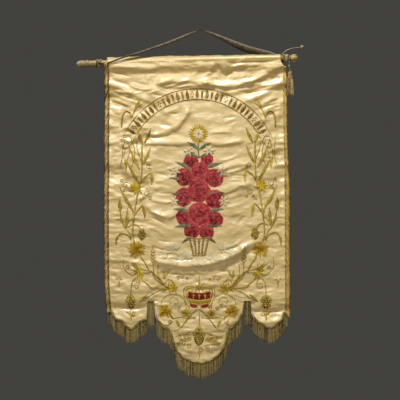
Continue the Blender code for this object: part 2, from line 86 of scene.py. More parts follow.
CENTRE_HEM = (
    (-201.5, -1262.0),
    (-188.0, -1286.0),
    (-170.0, -1309.0),
    (-140.0, -1324.0),
    (-129.0, -1355.0),
    (-115.0, -1394.0),
    (-97.0, -1427.0),
    (-66.0, -1453.0),
    (-4.0, -1468.0),
    (40.0, -1457.0),
    (72.0, -1436.0),
    (98.0, -1406.0),
    (112.0, -1374.0),
    (121.0, -1326.0),
    (160.0, -1294.0),
    (182.0, -1253.0),
)
RIGHT_HEM = (
    (222.0, -1253.0),
    (239.0, -1278.0),
    (262.0, -1294.0),
    (287.0, -1309.0),
    (313.0, -1312.0),
    (334.0, -1295.5),
    (356.0, -1276.0),
    (367.5, -1250.0),
    (378.5, -1246.0),
)
LEFT_SLIT = (-234.5, -206.8)
RIGHT_SLIT = (190.2, 218.7)

# The main folds, each bent over three places (x, z), then its half width and its lift
FOLDS = (
    (-180, -240, -92, -218, 18, -236, 14, 6),
    (18, -236, 166, -278, 348, -166, 14, 8),
    (-158, -266, -48, -266, 62, -268, 13, -3),
    (106, -292, 200, -304, 330, -214, 15, -5),
    (-409, -240, -334, -262, -246, -310, 15, 6),
    (-400, -297, -334, -325, -262, -345, 14, -5),
    (216, -310, 290, -278, 365, -231, 15, 6),
    (-224, -458, -110, -462, -57, -363, 16, 7),
    (-238, -502, -145, -489, -44, -502, 13, 6),
    (22, -496, 92, -503, 172, -495, 13, 6),
    (92, -616, 150, -592, 216, -592, 15, 6),
    (66, -720, 128, -698, 216, -674, 15, 5),
    (-233, -780, -158, -860, -75, -772, 16, 6),
    (-189, -1020, 20, -1072, 184, -966, 16, 10),
    (-167, -1073, 30, -1120, 168, -1012, 14, -5),
    (-409, -1142, -321, -1150, -224, -1136, 26, 6),
    (-409, -1226, -321, -1234, -238, -1216, 26, -9),
    (216, -1180, 295, -1184, 378, -1172, 20, 5),
    (220, -1243, 295, -1246, 378, -1230, 21, -9),
    (-158, -1298, -4, -1352, 150, -1286, 24, 5),
    (-90, -1392, 0, -1412, 90, -1384, 18, 4),
)
CREASE_TAPER = 0.3
WAVE_HEIGHT = 5.0
WAVE_LENGTH = 310.0
WAVE_TOP = -700.0
WAVE_FULL = -1300.0

# Finer creases, each through three places of the chart, then its width above and below and its lift
CREASES = (
    # heading, left of the middle
    (146, 61.4, 152, 61.2, 158, 62, 3.2, 4, -3.4),
    (110, 67, 124, 68, 140, 68.6, 11, 6, 3.2),
    (138, 69, 150, 70, 159, 67.6, 10, 7, 3.6),
    (110, 72, 122, 74.6, 131, 78, 6, 7, -3.0),
    (110, 79.8, 121, 83, 132, 87.4, 8, 8, -4.2),
    (112, 90.6, 123, 92.6, 134, 93.4, 7, 4, 3.0),
    (134, 93.4, 139, 93, 144, 90.6, 5, 4, 2.6),
    (114, 91.6, 124, 96.6, 137, 100.4, 5, 5, -3.0),
    (110, 97.4, 120, 102, 131, 106, 10, 7, 7.0),
    (112, 103.6, 121, 109, 130, 114, 6, 6, -3.2),
    (109, 106, 115, 110.6, 121, 115.6, 7, 5, 2.8),
    (134, 80.6, 140, 84, 150, 84.6, 6, 7, -2.6),
    (130, 84.4, 136, 88.4, 144, 90, 7, 4, 3.0),
    (140, 89.6, 147, 90, 154, 88.6, 8, 3.6, 3.0),
    (152, 93, 158, 95.6, 165, 94.6, 5, 5, -3.2),
    (148, 94.6, 154, 92, 160, 91, 7, 4, 2.4),
    (158, 84, 166, 82, 175, 77, 26, 8, 5.0),
    (162, 87, 170, 86.6, 178, 84.6, 6, 3, 3.6),
    (176, 85.8, 182, 82.4, 191, 80.6, 8, 3, 4.2),
    (176, 88.8, 186, 86.4, 196, 85.4, 7, 3.2, 3.4),
    (164, 70, 168, 68.6, 172, 70, 3, 3, -1.8),
    (183, 67.6, 186.6, 67.2, 190, 68, 3, 3, -2.4),
    # heading, right of the middle
    (195, 85.4, 206, 85.2, 218, 85.4, 8, 3, 5.0),
    (216, 85.6, 223, 87.2, 232, 89.4, 9, 3.2, 5.0),
    (230, 89.2, 237, 86.8, 246, 83, 9, 4, 4.6),
    (244, 83.4, 258, 79.4, 268, 73.2, 12, 5, 5.0),
    (266, 74, 273, 70, 281, 67.6, 12, 6, 5.0),
    (213, 62.6, 219.6, 69, 224, 78.6, 7, 8, -5.5),
    (225, 79, 231, 72.4, 243, 69.4, 6, 8, -5.0),
    (242, 69.6, 251, 67.6, 261, 67.4, 5, 6, -4.0),
    (231, 65.4, 241, 63.2, 260, 60.8, 3.6, 4.2, -3.6),
    (228, 68, 238, 66.4, 250, 65.2, 5, 4, 2.6),
    (229, 80, 240, 76.6, 256, 75.4, 14, 8, 3.4),
    (254, 75.6, 266, 70.4, 277, 65.6, 14, 8, 4.0),
    (236, 90.6, 250, 89.2, 262, 86.8, 6, 4.5, 3.0),
    (260, 87, 271, 84.4, 283, 83.4, 16, 6, 5.0),
    (244, 93.4, 262, 91.4, 282, 87.4, 6, 8, -5.0),
    (262, 104, 270, 100.6, 281, 96.4, 13, 5, 4.6),
    (262, 108, 271, 105.4, 282, 102.6, 4.5, 5, -3.4),
    (266, 112, 275, 110, 283, 107, 8, 5, 2.8),
    (191, 76.6, 197, 72, 201, 66, 4, 5, 2.2),
    (202, 78.6, 207, 74.6, 213, 73, 5, 4, 2.6),
    (198, 82.6, 206, 83.2, 214, 82.2, 4, 3.4, 2.4),
    (190, 61.6, 199, 61, 209, 62.6, 3.4, 4, -2.6),
    (190, 66.4, 194, 65.8, 198, 66.2, 3, 3, -2.0),
    (212, 72, 216, 76, 222, 81, 5, 5, 2.4),
    # inside the arch
    (150, 135.4, 163, 135, 173, 131.6, 7, 4.5, 3.2),
    (172, 132, 178.6, 127.6, 181.6, 120, 7, 4.5, 3.4),
    (180.6, 123, 185, 116.6, 189, 110, 8, 6, 3.2),
    (158, 123.4, 166, 125.6, 174, 125.4, 6, 7, -3.4),
    (160, 114.6, 170, 111.6, 181, 107.6, 10, 8, 2.4),
    (170, 112.6, 176, 114, 183, 111, 5, 5, -2.8),
    (151, 144.2, 168, 144.4, 188, 145, 6, 4, 3.0),
    (209, 144.6, 222, 145, 239, 141.4, 6.5, 4, 3.0),
    (209, 133, 221, 132.2, 234, 132.6, 9, 6, 3.2),
    (222, 117.4, 229, 117.6, 236, 115.6, 4, 4, -2.4),
    (224, 121.6, 230, 120.6, 237, 118.6, 6, 5, 2.2),
    (208, 128, 211, 124, 214, 119, 3.6, 4, -1.6),
    # left of the spray
    (150, 158.6, 162, 160.4, 174, 164.4, 8, 6, 1.8),
    (164, 169.6, 172, 168.4, 180, 165.4, 8, 5, 2.2),
    (152, 172, 162, 174.6, 170, 177.6, 6, 6, -1.8),
    (150, 187.6, 162, 189, 176, 186.6, 9, 7, 1.8),
    (152, 191.4, 165, 193.6, 178, 192, 6, 6, -2.6),
    (150, 199.4, 162, 202, 176, 202.6, 8, 6, 3.0),
    (148, 211, 158, 214, 167, 219.4, 6.5, 4.5, 4.6),
    (166, 219.4, 174, 216, 182, 211.2, 7, 4.5, 4.8),
    (148, 217, 159, 220.6, 168, 227, 6, 6, -3.6),
    (148, 227, 158, 231, 166, 237, 8, 6, 2.8),
    (156, 239.6, 164, 241.4, 173, 242.2, 3.6, 3.6, -2.4),
    (152, 246.4, 165, 250.4, 182, 252.2, 5, 4.4, -3.4),
    (158, 257.6, 168, 257.6, 182, 256.6, 8, 4.5, 3.2),
    # right of the spray
    (218, 160.4, 230, 159, 240, 152.6, 6, 4.5, 3.2),
    (224, 173.6, 236, 171, 249, 165.6, 9, 4.6, 4.6),
    (228, 177, 238, 175.4, 248, 177, 4, 4, -2.6),
    (229, 180.6, 236, 179.8, 242, 181.4, 4, 3.4, 2.4),
    (219, 194.4, 230, 191.4, 240, 186, 5.5, 4, 4.4),
    (239, 186, 244, 185.6, 249, 188, 5, 4, 3.8),
    (224, 200, 234, 199, 244, 195, 6, 5, -2.0),
    (224, 207.6, 236, 206, 246, 202, 8, 6, 2.4),
    (244, 209.4, 249, 207, 254, 204, 6, 4, 2.6),
    (226, 216, 238, 213.6, 246, 209, 7, 6, 2.0),
    (236, 225, 241.6, 219.6, 246, 214, 6, 5, -2.4),
    (230, 236, 238, 231, 245, 223, 7, 5, 2.6),
    (224, 247.6, 235, 245, 243, 238.6, 8, 4.5, 3.8),
    (223, 250.4, 232, 248.6, 242, 245, 4.5, 4, -3.2),
    (218, 260, 232, 256.6, 249, 248.4, 8, 6, 3.6),
    # below the spray and in the lobes
    (160, 268, 176, 267.4, 196, 266.4, 8, 6, 3.6),
    (196, 266.4, 212, 263.4, 230, 257.6, 8, 6, 3.6),
    (170, 259, 182, 260, 196, 258.4, 3.6, 4, -2.8),
    (165, 273.6, 184, 274.6, 204, 273.4, 6, 7, -3.2),
    (204, 273, 220, 267.6, 240, 261.6, 6, 7, -3.4),
    (109, 258.6, 116, 260.4, 123, 261.6, 8, 5, 2.6),
    (109, 268.6, 116, 269.4, 124, 268.6, 5, 5, -2.0),
    (110, 272.6, 118, 276, 122, 279, 6, 5, 1.8),
    (138, 297, 144, 296.6, 149, 295.6, 6, 4, 3.0),
    (148, 298.6, 154, 296, 160, 291.6, 7, 4.4, 3.8),
    (140, 301.4, 150, 300.8, 161, 301.6, 4, 4, -2.8),
    (155, 304.6, 163, 305, 172, 303.6, 6, 4, 2.6),
    (110, 303.6, 124, 307.6, 146, 308.6, 10, 9, -5.0),
    (112, 315.6, 128, 321, 146, 320.6, 16, 8, 3.4),
    (134, 317, 138, 321, 144, 324, 5, 4, 1.8),
    (252, 310.6, 268, 312.4, 287, 310.4, 6, 5, -4.0),
    (253, 320.6, 268, 321.8, 286, 318, 14, 8, 4.0),
    (272, 307.6, 279, 307, 286, 308, 5, 4, 2.4),
    (256, 268.6, 263, 264.6, 270, 258.6, 7, 5, 2.6),
    (280, 298.6, 283, 298, 287, 298.6, 3, 3, 1.8),
    (280, 302.6, 283, 303, 287, 302, 3, 3, 1.8),
    (156, 318.6, 164, 323.4, 173, 326.6, 8, 6, 2.6),
    (222, 327, 230, 323, 238, 317, 8, 6, 2.6),
    (172, 333.4, 186, 331.6, 200, 329.6, 7, 5, 2.8),
    (170, 337.6, 180, 338.6, 190, 336.6, 5, 4, 2.2),
    (203, 338, 214, 336.4, 228, 333, 6, 4.5, 2.4),
    (172, 341, 182, 343.4, 192, 342, 5, 4, 2.4),
    (200, 344.4, 214, 343.2, 226, 339, 7, 5, 2.6),
    (205, 349.6, 215, 348, 224, 345, 5, 4, 2.2),
    (178, 347.6, 192, 350.6, 206, 352.4, 6, 5, 2.4),
    (176, 352, 186, 354.6, 195, 355, 5, 4, 2.0),
    (184, 356.4, 198, 359.6, 214, 356.2, 6, 6, 2.2),
    (236, 253.4, 250, 245.6, 265, 238.4, 17, 9, 5.5),
    (240, 249.4, 247, 245.2, 256, 240.4, 9, 7, 3.6),
    (232, 262, 244, 255.4, 260, 247, 7, 10, -4.4),
    (168, 265.4, 146, 263.4, 114, 258.6, 14, 8, 5.0),
    (172, 330.4, 181, 327.8, 194, 329, 3.6, 3.4, -2.4),
    (174.6, 337.6, 182, 335.4, 193.6, 331.8, 3.6, 3.4, -2.6),
    (205.6, 331.6, 213.4, 331.8, 225, 329, 3.6, 3.4, -2.4),
    (176, 341, 183, 340, 190, 340.6, 3.4, 3.4, -2.0),
    (174.6, 344.8, 181, 346.2, 192.6, 343.4, 3.6, 3.4, -2.6),
    (204.4, 346, 213.4, 344.6, 223.8, 344.6, 3.6, 3.4, -2.6),
    (207, 338.6, 214, 338.8, 224, 337, 3.4, 3.4, -2.0),
    (205.6, 350.6, 212, 349.8, 220, 350.4, 3.4, 3.4, -2.2),
    (177, 351, 186, 352.4, 196.6, 355, 3.6, 3.4, -2.4),
    (185, 359, 196.6, 361, 207, 359, 3.6, 3.4, -2.0),
    (182, 322.6, 189, 324.4, 197, 323.6, 3.4, 3.4, -1.8),
    (203, 322, 212, 323, 222, 320.6, 3.4, 3.4, -1.8),
)

# The bands sewn up the sides
TRIM_WIDTH = 24.0
TRIM_NARROW = 17.0
TRIM_OVERHANG = 15.5
TRIM_OVERHANG_TOP = 11.0
TRIM_STRAND = 66.0
TRIM_PITCH = 3.3

# The fringe
STRAND_LENGTH = 68.0
SLIT_STRAND_LENGTH = 118.0
STRAND_PITCH = 2.45

# The flat tape as (x, y, z, width, turn in degrees from facing forwards)
TAPE = (
    (-448.0, -19.5, -150.8, 7.0, 0),
    (-430.0, -23.5, -153.2, 7.0, 5),
    (-412.0, -26.2, -153.8, 7.0, 15),
    (-369.6, -26.6, -138.6, 8.0, 22),
    (-325.6, -27.0, -122.6, 10.0, 32),
    (-286.4, -25.0, -111.6, 14.0, 42),
    (-227.5, -20.0, -91.4, 20.0, 48),
    (-149.6, -11.0, -63.2, 26.0, 50),
    (-80.0, -4.5, -34.0, 28.0, 51),
    (-45.0, -2.4, -19.0, 28.6, 57),
    (-20.0, -0.5, -8.0, 29.0, 70),
    (0.0, 0.0, -2.2, 29.0, 84),
    (20.0, 0.5, -7.0, 29.0, 70),
    (46.0, 2.2, -17.4, 29.0, 55),
    (74.8, 4.0, -28.6, 29.0, 45),
    (124.5, 9.0, -50.0, 29.0, 30),
    (167.2, 15.0, -68.8, 30.0, 6),
    (213.8, 23.0, -84.4, 31.0, -4),
    (262.0, 26.0, -95.8, 30.0, -6),
    (310.0, 26.0, -106.0, 24.0, -4),
    (343.2, 25.0, -115.6, 15.0, 0),
    (371.0, 19.7, -126.6, 9.0, 0),
)
TAPE_THICKNESS = 1.4

# Cord wound round the pole, and the tassel
LEFT_WINDING = (-460.2, -435.3)
RIGHT_WINDING = (357.8, 386.2)
WINDING_CORD = 1.75
WINDING_RADIUS = 17.0
TASSEL_CORD = (
    (386.0, -13.4, -140.7),
    (386.2, -18.4, -147.0),
    (386.4, -21.0, -153.5),
    (386.2, -22.2, -159.0),
    (386.0, -22.8, -161.5),
    (386.0, -23.0, -164.5),
    (386.2, -23.2, -167.5),
    (386.6, -23.6, -170.5),
    (387.6, -24.0, -178.5),
    (388.8, -24.2, -186.45),
)
TASSEL_CORD_RADIUS = 1.8
TASSEL_TOP = (389.4, -24.5, -186.8)


def lerp(a, b, t):
    return a + (b - a) * t


def ease(t):
    """A smooth step from 0 to 1."""
    t = np.clip(t, 0.0, 1.0)
    return t * t * (3.0 - 2.0 * t)


def from_table(table, value):
    """The second column of a table at values of its first, straight between the rows."""
    rows = sorted(table)
    return np.interp(value, [row[0] for row in rows], [row[1] for row in rows])


def rod_height(x):
    """Height of the middle line of the pole."""
    return ROD_HEIGHT + ROD_SLOPE * x


def at(u, v):
    """A place of the design chart as (x, z)."""
    return np.array(((u - CHART_MIDDLE) * SQUARE, (CHART_TOP - v) * SQUARE))


def unit(vectors):
    return vectors / np.maximum(np.linalg.norm(vectors, axis=-1, keepdims=True), 1e-9)


def lengths(line):
    """The distance run at each point of a line."""
    return np.concatenate(((0.0,), np.cumsum(np.linalg.norm(np.diff(line, axis=0), axis=1))))


def places_of(x, y, z):
    """Points from their coordinates, of which some may be single numbers."""
    return np.stack(np.broadcast_arrays(x, y, z), axis=-1)


def quads(index):
    """The faces between rows of point numbers."""
    corners = (index[:-1, :-1], index[1:, :-1], index[1:, 1:], index[:-1, 1:])
    return np.stack(corners, axis=-1).reshape(-1, 4).tolist()


def add_object(name, data):
    item = bpy.data.objects.new(name, data)
    bpy.context.scene.collection.objects.link(item)
    return item


def put_on_frame(item, replaces=()):
    """Ties an object to the body and hides the solids that it stands for."""
    if replaces:
        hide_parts(*replaces)
    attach(item, "root")
    return item


def smooth_line(points, step):
    """Points about a step apart on a smooth curve through the given ones."""
    points = np.asarray(points, float)
    first = 2 * points[0] - points[1]
    last = 2 * points[-1] - points[-2]
    chain = np.vstack((first, points, last))
    parts = []
    for a, b, c, d in zip(chain, chain[1:], chain[2:], chain[3:]):
        count = max(1, round(float(np.linalg.norm(c - b)) / step))
        t = np.linspace(0.0, 1.0, count, endpoint=False)[:, None]
        bend = 2 * a - 5 * b + 4 * c - d
        twist = 3 * b - a - 3 * c + d
        parts.append(0.5 * (2 * b + (c - a) * t + bend * t**2 + twist * t**3))
    parts.append(points[-1:])
    return np.vstack(parts)


# The hanging shape of the sheet, worked out once on a raster
RASTER_STEP = 2.0
RASTER_X = np.arange(-444.0, 408.1, RASTER_STEP)
RASTER_Z = np.arange(-1540.0, -99.9, RASTER_STEP)


def press(field, line, above, below, lift, taper):
    """Adds a crease to the raster: a ridge, or a trough where lift is negative."""
    reach = 2.6 * max(above, below)
    low = line.min(0) - reach
    high = line.max(0) + reach
    columns = slice(*np.searchsorted(RASTER_X, (low[0], high[0])))
    rows = slice(*np.searchsorted(RASTER_Z, (low[1], high[1])))
    x = RASTER_X[columns][None, :]
    z = RASTER_Z[rows][:, None]
    nearest = np.full((z.size, x.size), 1e9)
    side = np.ones_like(nearest)
    share = np.zeros_like(nearest)
    for k, (start, end) in enumerate(zip(line, line[1:])):
        run = end - start
        along = np.clip(((x - start[0]) * run[0] + (z - start[1]) * run[1]) / (run @ run), 0.0, 1.0)
        off_x = x - start[0] - along * run[0]
        off_z = z - start[1] - along * run[1]
        gap = np.hypot(off_x, off_z)
        closer = gap < nearest
        nearest = np.where(closer, gap, nearest)
        side = np.where(closer, (run[0] * off_z - run[1] * off_x) * np.sign(run[0] + 1e-6), side)
        share = np.where(closer, (k + along) / (len(line) - 1), share)
    half = np.where(side > 0, above, below)
    fade = 1.0
    if taper:
        fade = ease(np.minimum(share, 1.0 - share) / taper + 0.08)
    field[rows, columns] += lift * fade * np.exp(-((nearest / half) ** 2))


def bezier(a, b, c, count):
    """Points on a curve from a to c that is drawn towards b."""
    t = np.linspace(0.0, 1.0, count + 1)[:, None]
    return (1 - t) ** 2 * a + 2 * t * (1 - t) * b + t * t * c


def wrinkles(across, down, seed):
    """Smooth noise of unit strength whose bumps are about this long across and down."""
    noise = np.random.RandomState(seed).normal(size=(RASTER_Z.size, RASTER_X.size))
    over = np.fft.rfftfreq(RASTER_X.size, RASTER_STEP)[None, :]
    up = np.fft.fftfreq(RASTER_Z.size, RASTER_STEP)[:, None]
    keep = np.exp(-((over * across) ** 2 + (up * down) ** 2) * 5.0)
    field = np.fft.irfft2(np.fft.rfft2(noise) * keep, s=noise.shape)
    return field / field.std()


def hang():
    """Depth of the middle of the sheet over the raster."""
    relief = np.zeros((RASTER_Z.size, RASTER_X.size))
    for ax, az, bx, bz, cx, cz, half, lift in FOLDS:
        line = bezier(np.array((ax, az)), np.array((bx, bz)), np.array((cx, cz)), 16)
        above, below = (1.25 * half, 0.72 * half) if lift > 0 else (0.8 * half, 1.2 * half)
        press(relief, line, above, below, lift, 0.0)
    fine = np.zeros_like(relief)
    for *places, above, below, lift in CREASES:
        start, middle, end = (at(*places[k : k + 2]) for k in (0, 2, 4))
        line = bezier(start, 2 * middle - (start + end) / 2, end, 12)
        press(fine, line, above, below, lift, CREASE_TAPER)
    x = RASTER_X[None, :]
    z = RASTER_Z[:, None]
    left = from_table(LEFT_EDGE, RASTER_Z)[:, None]
    right = from_table(RIGHT_EDGE, RASTER_Z)[:, None]
    inward = np.minimum(x - left, right - x)
    pucker = np.exp(-np.maximum(inward - 6.0, 0.0) / 34.0) * ease(inward / 14.0)
    patches = 0.65 + 0.35 * np.clip(wrinkles(190.0, 150.0, 15), -1.0, 1.6)
    # Gathers along the edges, slow waves, and facets that meet in sharp lines
    fine += 0.95 * pucker * wrinkles(64.0, 9.5, 11)
    fine += 0.75 * wrinkles(80.0, 24.0, 12)
    fine += 0.60 * patches * wrinkles(16.0, 12.0, 13)
    fine -= 3.4 * patches * np.sqrt(wrinkles(60.0, 44.0, 16) ** 2 + 0.008)
    fine -= 2.0 * patches * np.sqrt(wrinkles(28.0, 22.0, 17) ** 2 + 0.02)
    # The stitching draws the satin in beside the wreath and in the lobes
    wreath_left = np.exp(-(((x - at(133, 0)[0]) / 95.0) ** 4))
    wreath_right = np.exp(-(((x - at(264, 0)[0]) / 95.0) ** 4))
    beside = np.maximum(wreath_left, wreath_right) * ease((z + 1330.0) / 60.0) * ease((-430.0 - z) / 60.0)
    below = np.exp(-(((z + 1180.0) / 190.0) ** 4))
    fine -= 1.5 * np.maximum(beside, below) * np.sqrt(wrinkles(21.0, 13.0, 14) ** 2 + 0.03)
    fine += 0.9 * np.exp(-(((inward - 14.0) / 5.0) ** 2))
    drop = rod_height(x) - z
    tuck = ease((drop - TUCK_START) / TUCK_LENGTH)
    depth = lerp(-LOOP_RADIUS, HANG_DEPTH, tuck) - tuck * relief - ease(drop / 12.0 + 0.3) * fine
    full = ease((z - WAVE_TOP) / (WAVE_FULL - WAVE_TOP))
    depth -= full * WAVE_HEIGHT * np.sin(2 * math.pi * x / WAVE_LENGTH + 0.8)
    clear = np.sqrt(np.maximum(CLEAR_RADIUS**2 - drop**2, 0.0))
    depth = np.where(drop < CLEAR_DROP, np.minimum(depth, -clear), depth)
    for k, row in enumerate(depth):
        level = np.clip(RASTER_X, left[k] + MARGIN, right[k] - MARGIN)
        depth[k] = np.interp(level, RASTER_X, row)
    return depth


DEPTH = hang()
# Where the sheet faces down; used below to paint shade into the satin's colour
FACING_DOWN = np.clip(-1.3 * np.gradient(DEPTH, RASTER_STEP, axis=0), 0.0, 1.0)


def sheet_value(field, x, z):
    """A raster field at places on the sheet."""
    across = np.clip((np.asarray(x) - RASTER_X[0]) / RASTER_STEP, 0.0, RASTER_X.size - 1.001)
    up = np.clip((np.asarray(z) - RASTER_Z[0]) / RASTER_STEP, 0.0, RASTER_Z.size - 1.001)
    i = up.astype(int)
    j = across.astype(int)
    s = up - i
    t = across - j
    low = lerp(field[i, j], field[i, j + 1], t)
    high = lerp(field[i + 1, j], field[i + 1, j + 1], t)
    return lerp(low, high, s)


def sheet_depth(x, z):
    """Depth of the middle of the sheet at places on it."""
    return sheet_value(DEPTH, x, z)


class Kit:
    """Gathers the points, faces, thread coordinates and tones of one piece."""

    def __init__(self):
        self.points = []
        self.faces = []
        self.threads = []
        self.tones = []
        self.count = 0

    def grid(self, points, threads, tones, closed=False):
        """Rows of points. A closed grid joins its last column to its first and has end faces."""
        rows, columns = points.shape[:2]
        index = np.arange(rows * columns).reshape(rows, columns) + self.count
        if closed:
            index = np.hstack((index, index[:, :1]))
        self.faces.extend(quads(index))
        if closed:
            self.faces.append(index[0, :-1].tolist())
            self.faces.append(index[-1, -2::-1].tolist())
        self.points.append(points.reshape(-1, 3))
        self.threads.append(threads.reshape(-1, 2))
        self.tones.append(np.broadcast_to(tones, (rows, columns)).reshape(-1))
        self.count += rows * columns

    def piece(self, name, paint, slot, replaces=()):
        """Makes the gathered points one object that rides on the body."""
        mesh = bpy.data.meshes.new(name)
        points = np.vstack(self.points) * MM
        mesh.from_pydata(points.tolist(), [], self.faces)
        threads = np.vstack(self.threads)
        corners = np.empty(len(mesh.loops), int)
        mesh.loops.foreach_get("vertex_index", corners)
        layer = mesh.uv_layers.new(name="threads")
        layer.data.foreach_set("uv", threads[corners].astype(np.float32).ravel())
        tone = mesh.attributes.new("tone", "FLOAT", "POINT")
        tone.data.foreach_set("value", np.concatenate(self.tones).astype(np.float32))
        mesh.materials.append(PAINTS[paint])
        mesh.polygons.foreach_set("use_smooth", np.full(len(mesh.polygons), True))
        mesh.update()
        return put_on_frame(add_object(name, mesh), replaces)


def tube(kit, route, half_width, half_depth, sides, tone, reference=(0.0, 1.0, 0.0)):
    """A strand along a route, as wide and deep as given at each of its points."""
    route = np.asarray(route, float)
    run = unit(np.gradient(route, axis=0))
    side = unit(np.cross(run, np.asarray(reference, float)))
    face = np.cross(side, run)
    angles = 2 * math.pi * np.arange(sides) / sides
    wide = np.broadcast_to(half_width, len(route))[:, None, None]
    deep = np.broadcast_to(half_depth, len(route))[:, None, None]
    ring = side[:, None, :] * np.cos(angles)[None, :, None] * wide
    ring = ring + face[:, None, :] * np.sin(angles)[None, :, None] * deep
    points = route[:, None, :] + ring
    along = lengths(route)
    around = np.minimum(np.arange(sides), sides - np.arange(sides)) * (6.0 / sides)
    threads = np.stack(np.broadcast_arrays(around[None, :], along[:, None]), axis=-1)
    tones = tone if np.ndim(tone) == 0 else np.asarray(tone)[:, None]
    kit.grid(points, threads, tones, closed=True)


# The embroidered pieces as (name, paint, finish)
LOOKS = (
    ("hem_braid", "hem", "gold_braid"),
    ("stems", "olive", "gold_braid"),
    ("outlines_and_shadow", "outline_and_shadow", "gold_braid"),
    ("leaves", "olive", "gold_braid"),
    ("lilies", "lily", "gold_braid"),
    ("wine_silk", "wine", "satin"),
    ("vine_leaves", "vine", "gold_braid"),
    ("grapes", "grape", "gold_braid"),
    ("wheat", "olive", "gold_braid"),
    ("tendrils", "olive", "gold_braid"),
    ("knots", "knot", "gold_braid"),
    ("ornaments", "gold", "gold_braid"),
    ("crown_gold", "olive", "gold_braid"),
    ("green_leaves", "green", "satin"),
    ("pale_silk", "pale", "satin"),
    ("grey_silk", "grey", "satin"),
    ("amber_silk", "amber", "satin"),
    ("roses", "crimson", "satin"),
    ("rose_edges_and_shade", "edge", "satin"),
)
KITS = {name: Kit() for name, *_ in LOOKS}

# Embroidery is raised ribs of thread: across each is a section of (place across, height)
ROUND = np.array(((-1, 0), (-0.62, 0.74), (0, 1), (0.62, 0.74), (1, 0)), float)
VEINED = np.array(
    ((-1, 0), (-0.78, 0.72), (-0.36, 1), (0, 0.5), (0.36, 1), (0.78, 0.72), (1, 0)), float
)
PETAL = np.array(
    (
        (-1, 0), (-0.9, 0.55), (-0.7, 0.8), (-0.45, 0.93), (-0.2, 1),
        (0.2, 1), (0.45, 0.93), (0.7, 0.8), (0.9, 0.55), (1, 0),
    ),
    float,
)
SUNK = 0.5
STEM_WIDEN = 1.9
LEAF_WIDEN = 1.75
OUTLINE = 1.0
EDGE_HEIGHT = 0.45


def rib(name, line, half_width, height, section, tone, slant=0.0, lift=0.0):
    """Thread laid along a line of (x, z) on the sheet."""
    run = unit(np.gradient(line, axis=0))
    side = np.stack((-run[:, 1], run[:, 0]), axis=1)
    half_width = np.broadcast_to(half_width, len(line))
    height = np.broadcast_to(height, len(line))
    off = section[None, :, 0] * half_width[:, None]
    flat = line[:, None, :] + side[:, None, :] * off[:, :, None]
    up = section[None, :, 1] * height[:, None]
    rise = np.where(section[None, :, 1] > 0, up + lift, -SUNK)
    depth = sheet_depth(flat[..., 0], flat[..., 1]) - HALF - rise
    points = places_of(flat[..., 0], depth, flat[..., 1])
    along = lengths(line)
    threads = np.stack((off, along[:, None] + slant * np.abs(off)), axis=-1)
    tones = tone if np.ndim(tone) == 0 else np.asarray(tone)[:, None]
    KITS[name].grid(points, threads, tones)


chance = random.Random(41)
vary = chance.uniform


def stem(name, places, width, tone=0.5, height=None):
    """Thread laid through places of the chart, thin at both ends, with a dark edge where it is wide that is
    partly painted shadow.
    """
    width = width * STEM_WIDEN
    line = smooth_line([at(u, v) for u, v in places], 3.0)
    t = np.linspace(0.0, 1.0, len(line))
    ends = 0.35 + 0.65 * ease(np.minimum(t, 1.0 - t) * 9.0)
    tall = (height or 0.42 * width + 0.5) * ends
    rib(name, line, width / 2 * ends, tall, ROUND, tone, 0.5)
    if width > 2.4:
        # A dark outline rib, partly real outlining and partly painted shadow beside the raised thread
        rib("outlines_and_shadow", line, width / 2 * ends + 0.7 * OUTLINE, EDGE_HEIGHT, ROUND, tone)


def leaf(
    name, base, tip, width, bend=0.0, tone=0.5, height=1.5,
    veined=True, round_tip=False, lift=0.0, edge="outlines_and_shadow",
):
    """A pointed leaf of satin stitch, bent to its left by a share of its length."""
    base, tip = at(*base), at(*tip)
    width = width * LEAF_WIDEN
    run = tip - base
    side = np.array((-run[1], run[0]))
    rows = max(6, min(11, int(np.linalg.norm(run) / 5.0)))
    line = bezier(base, (base + tip) / 2 + side * bend, tip, rows)
    t = np.linspace(0.0, 1.0, rows + 1)
    if round_tip:
        shape = np.sqrt(np.clip(1.0 - (1.7 * t - 0.75) ** 2 / 0.92, 0.0, 1.0)) * ease(t * 2.2 + 0.15)
    else:
        shape = np.sin(math.pi * t**0.8) ** 0.9
    wide = np.maximum(width / 2 * shape, 0.35)
    tall = height * (0.45 + 0.55 * np.clip(shape, 0.0, 1.0))
    section = PETAL if round_tip else VEINED if veined else ROUND
    rib(name, line, wide, tall, section, tone, 0.8, lift + 0.3)
    # A dark outline under the leaf, partly real outlining and partly painted shadow at its edge
    if edge:
        low = PETAL if round_tip else ROUND
        rib(edge, line, wide + OUTLINE, EDGE_HEIGHT, low, tone, 0.0, lift)


def dome(name, centre, radius, height, tone=0.5, stretch=1.0, lift=0.0):
    """A round knot of thread."""
    middle = at(*centre)
    t = np.linspace(-1.0, 1.0, 8)
    line = middle + np.stack((np.zeros(8), t * radius * stretch), axis=1)
    shape = np.sqrt(np.maximum(1.0 - t**2, 0.004))
    rib(name, line, radius * shape, height * shape, ROUND, tone, 0.0, lift)


def polar(centre, radius, degrees):
    """A chart place at a distance in squares from another; 0 is right and 90 is up."""
    angle = math.radians(degrees)
    return (centre[0] + radius * math.cos(angle), centre[1] - radius * math.sin(angle))


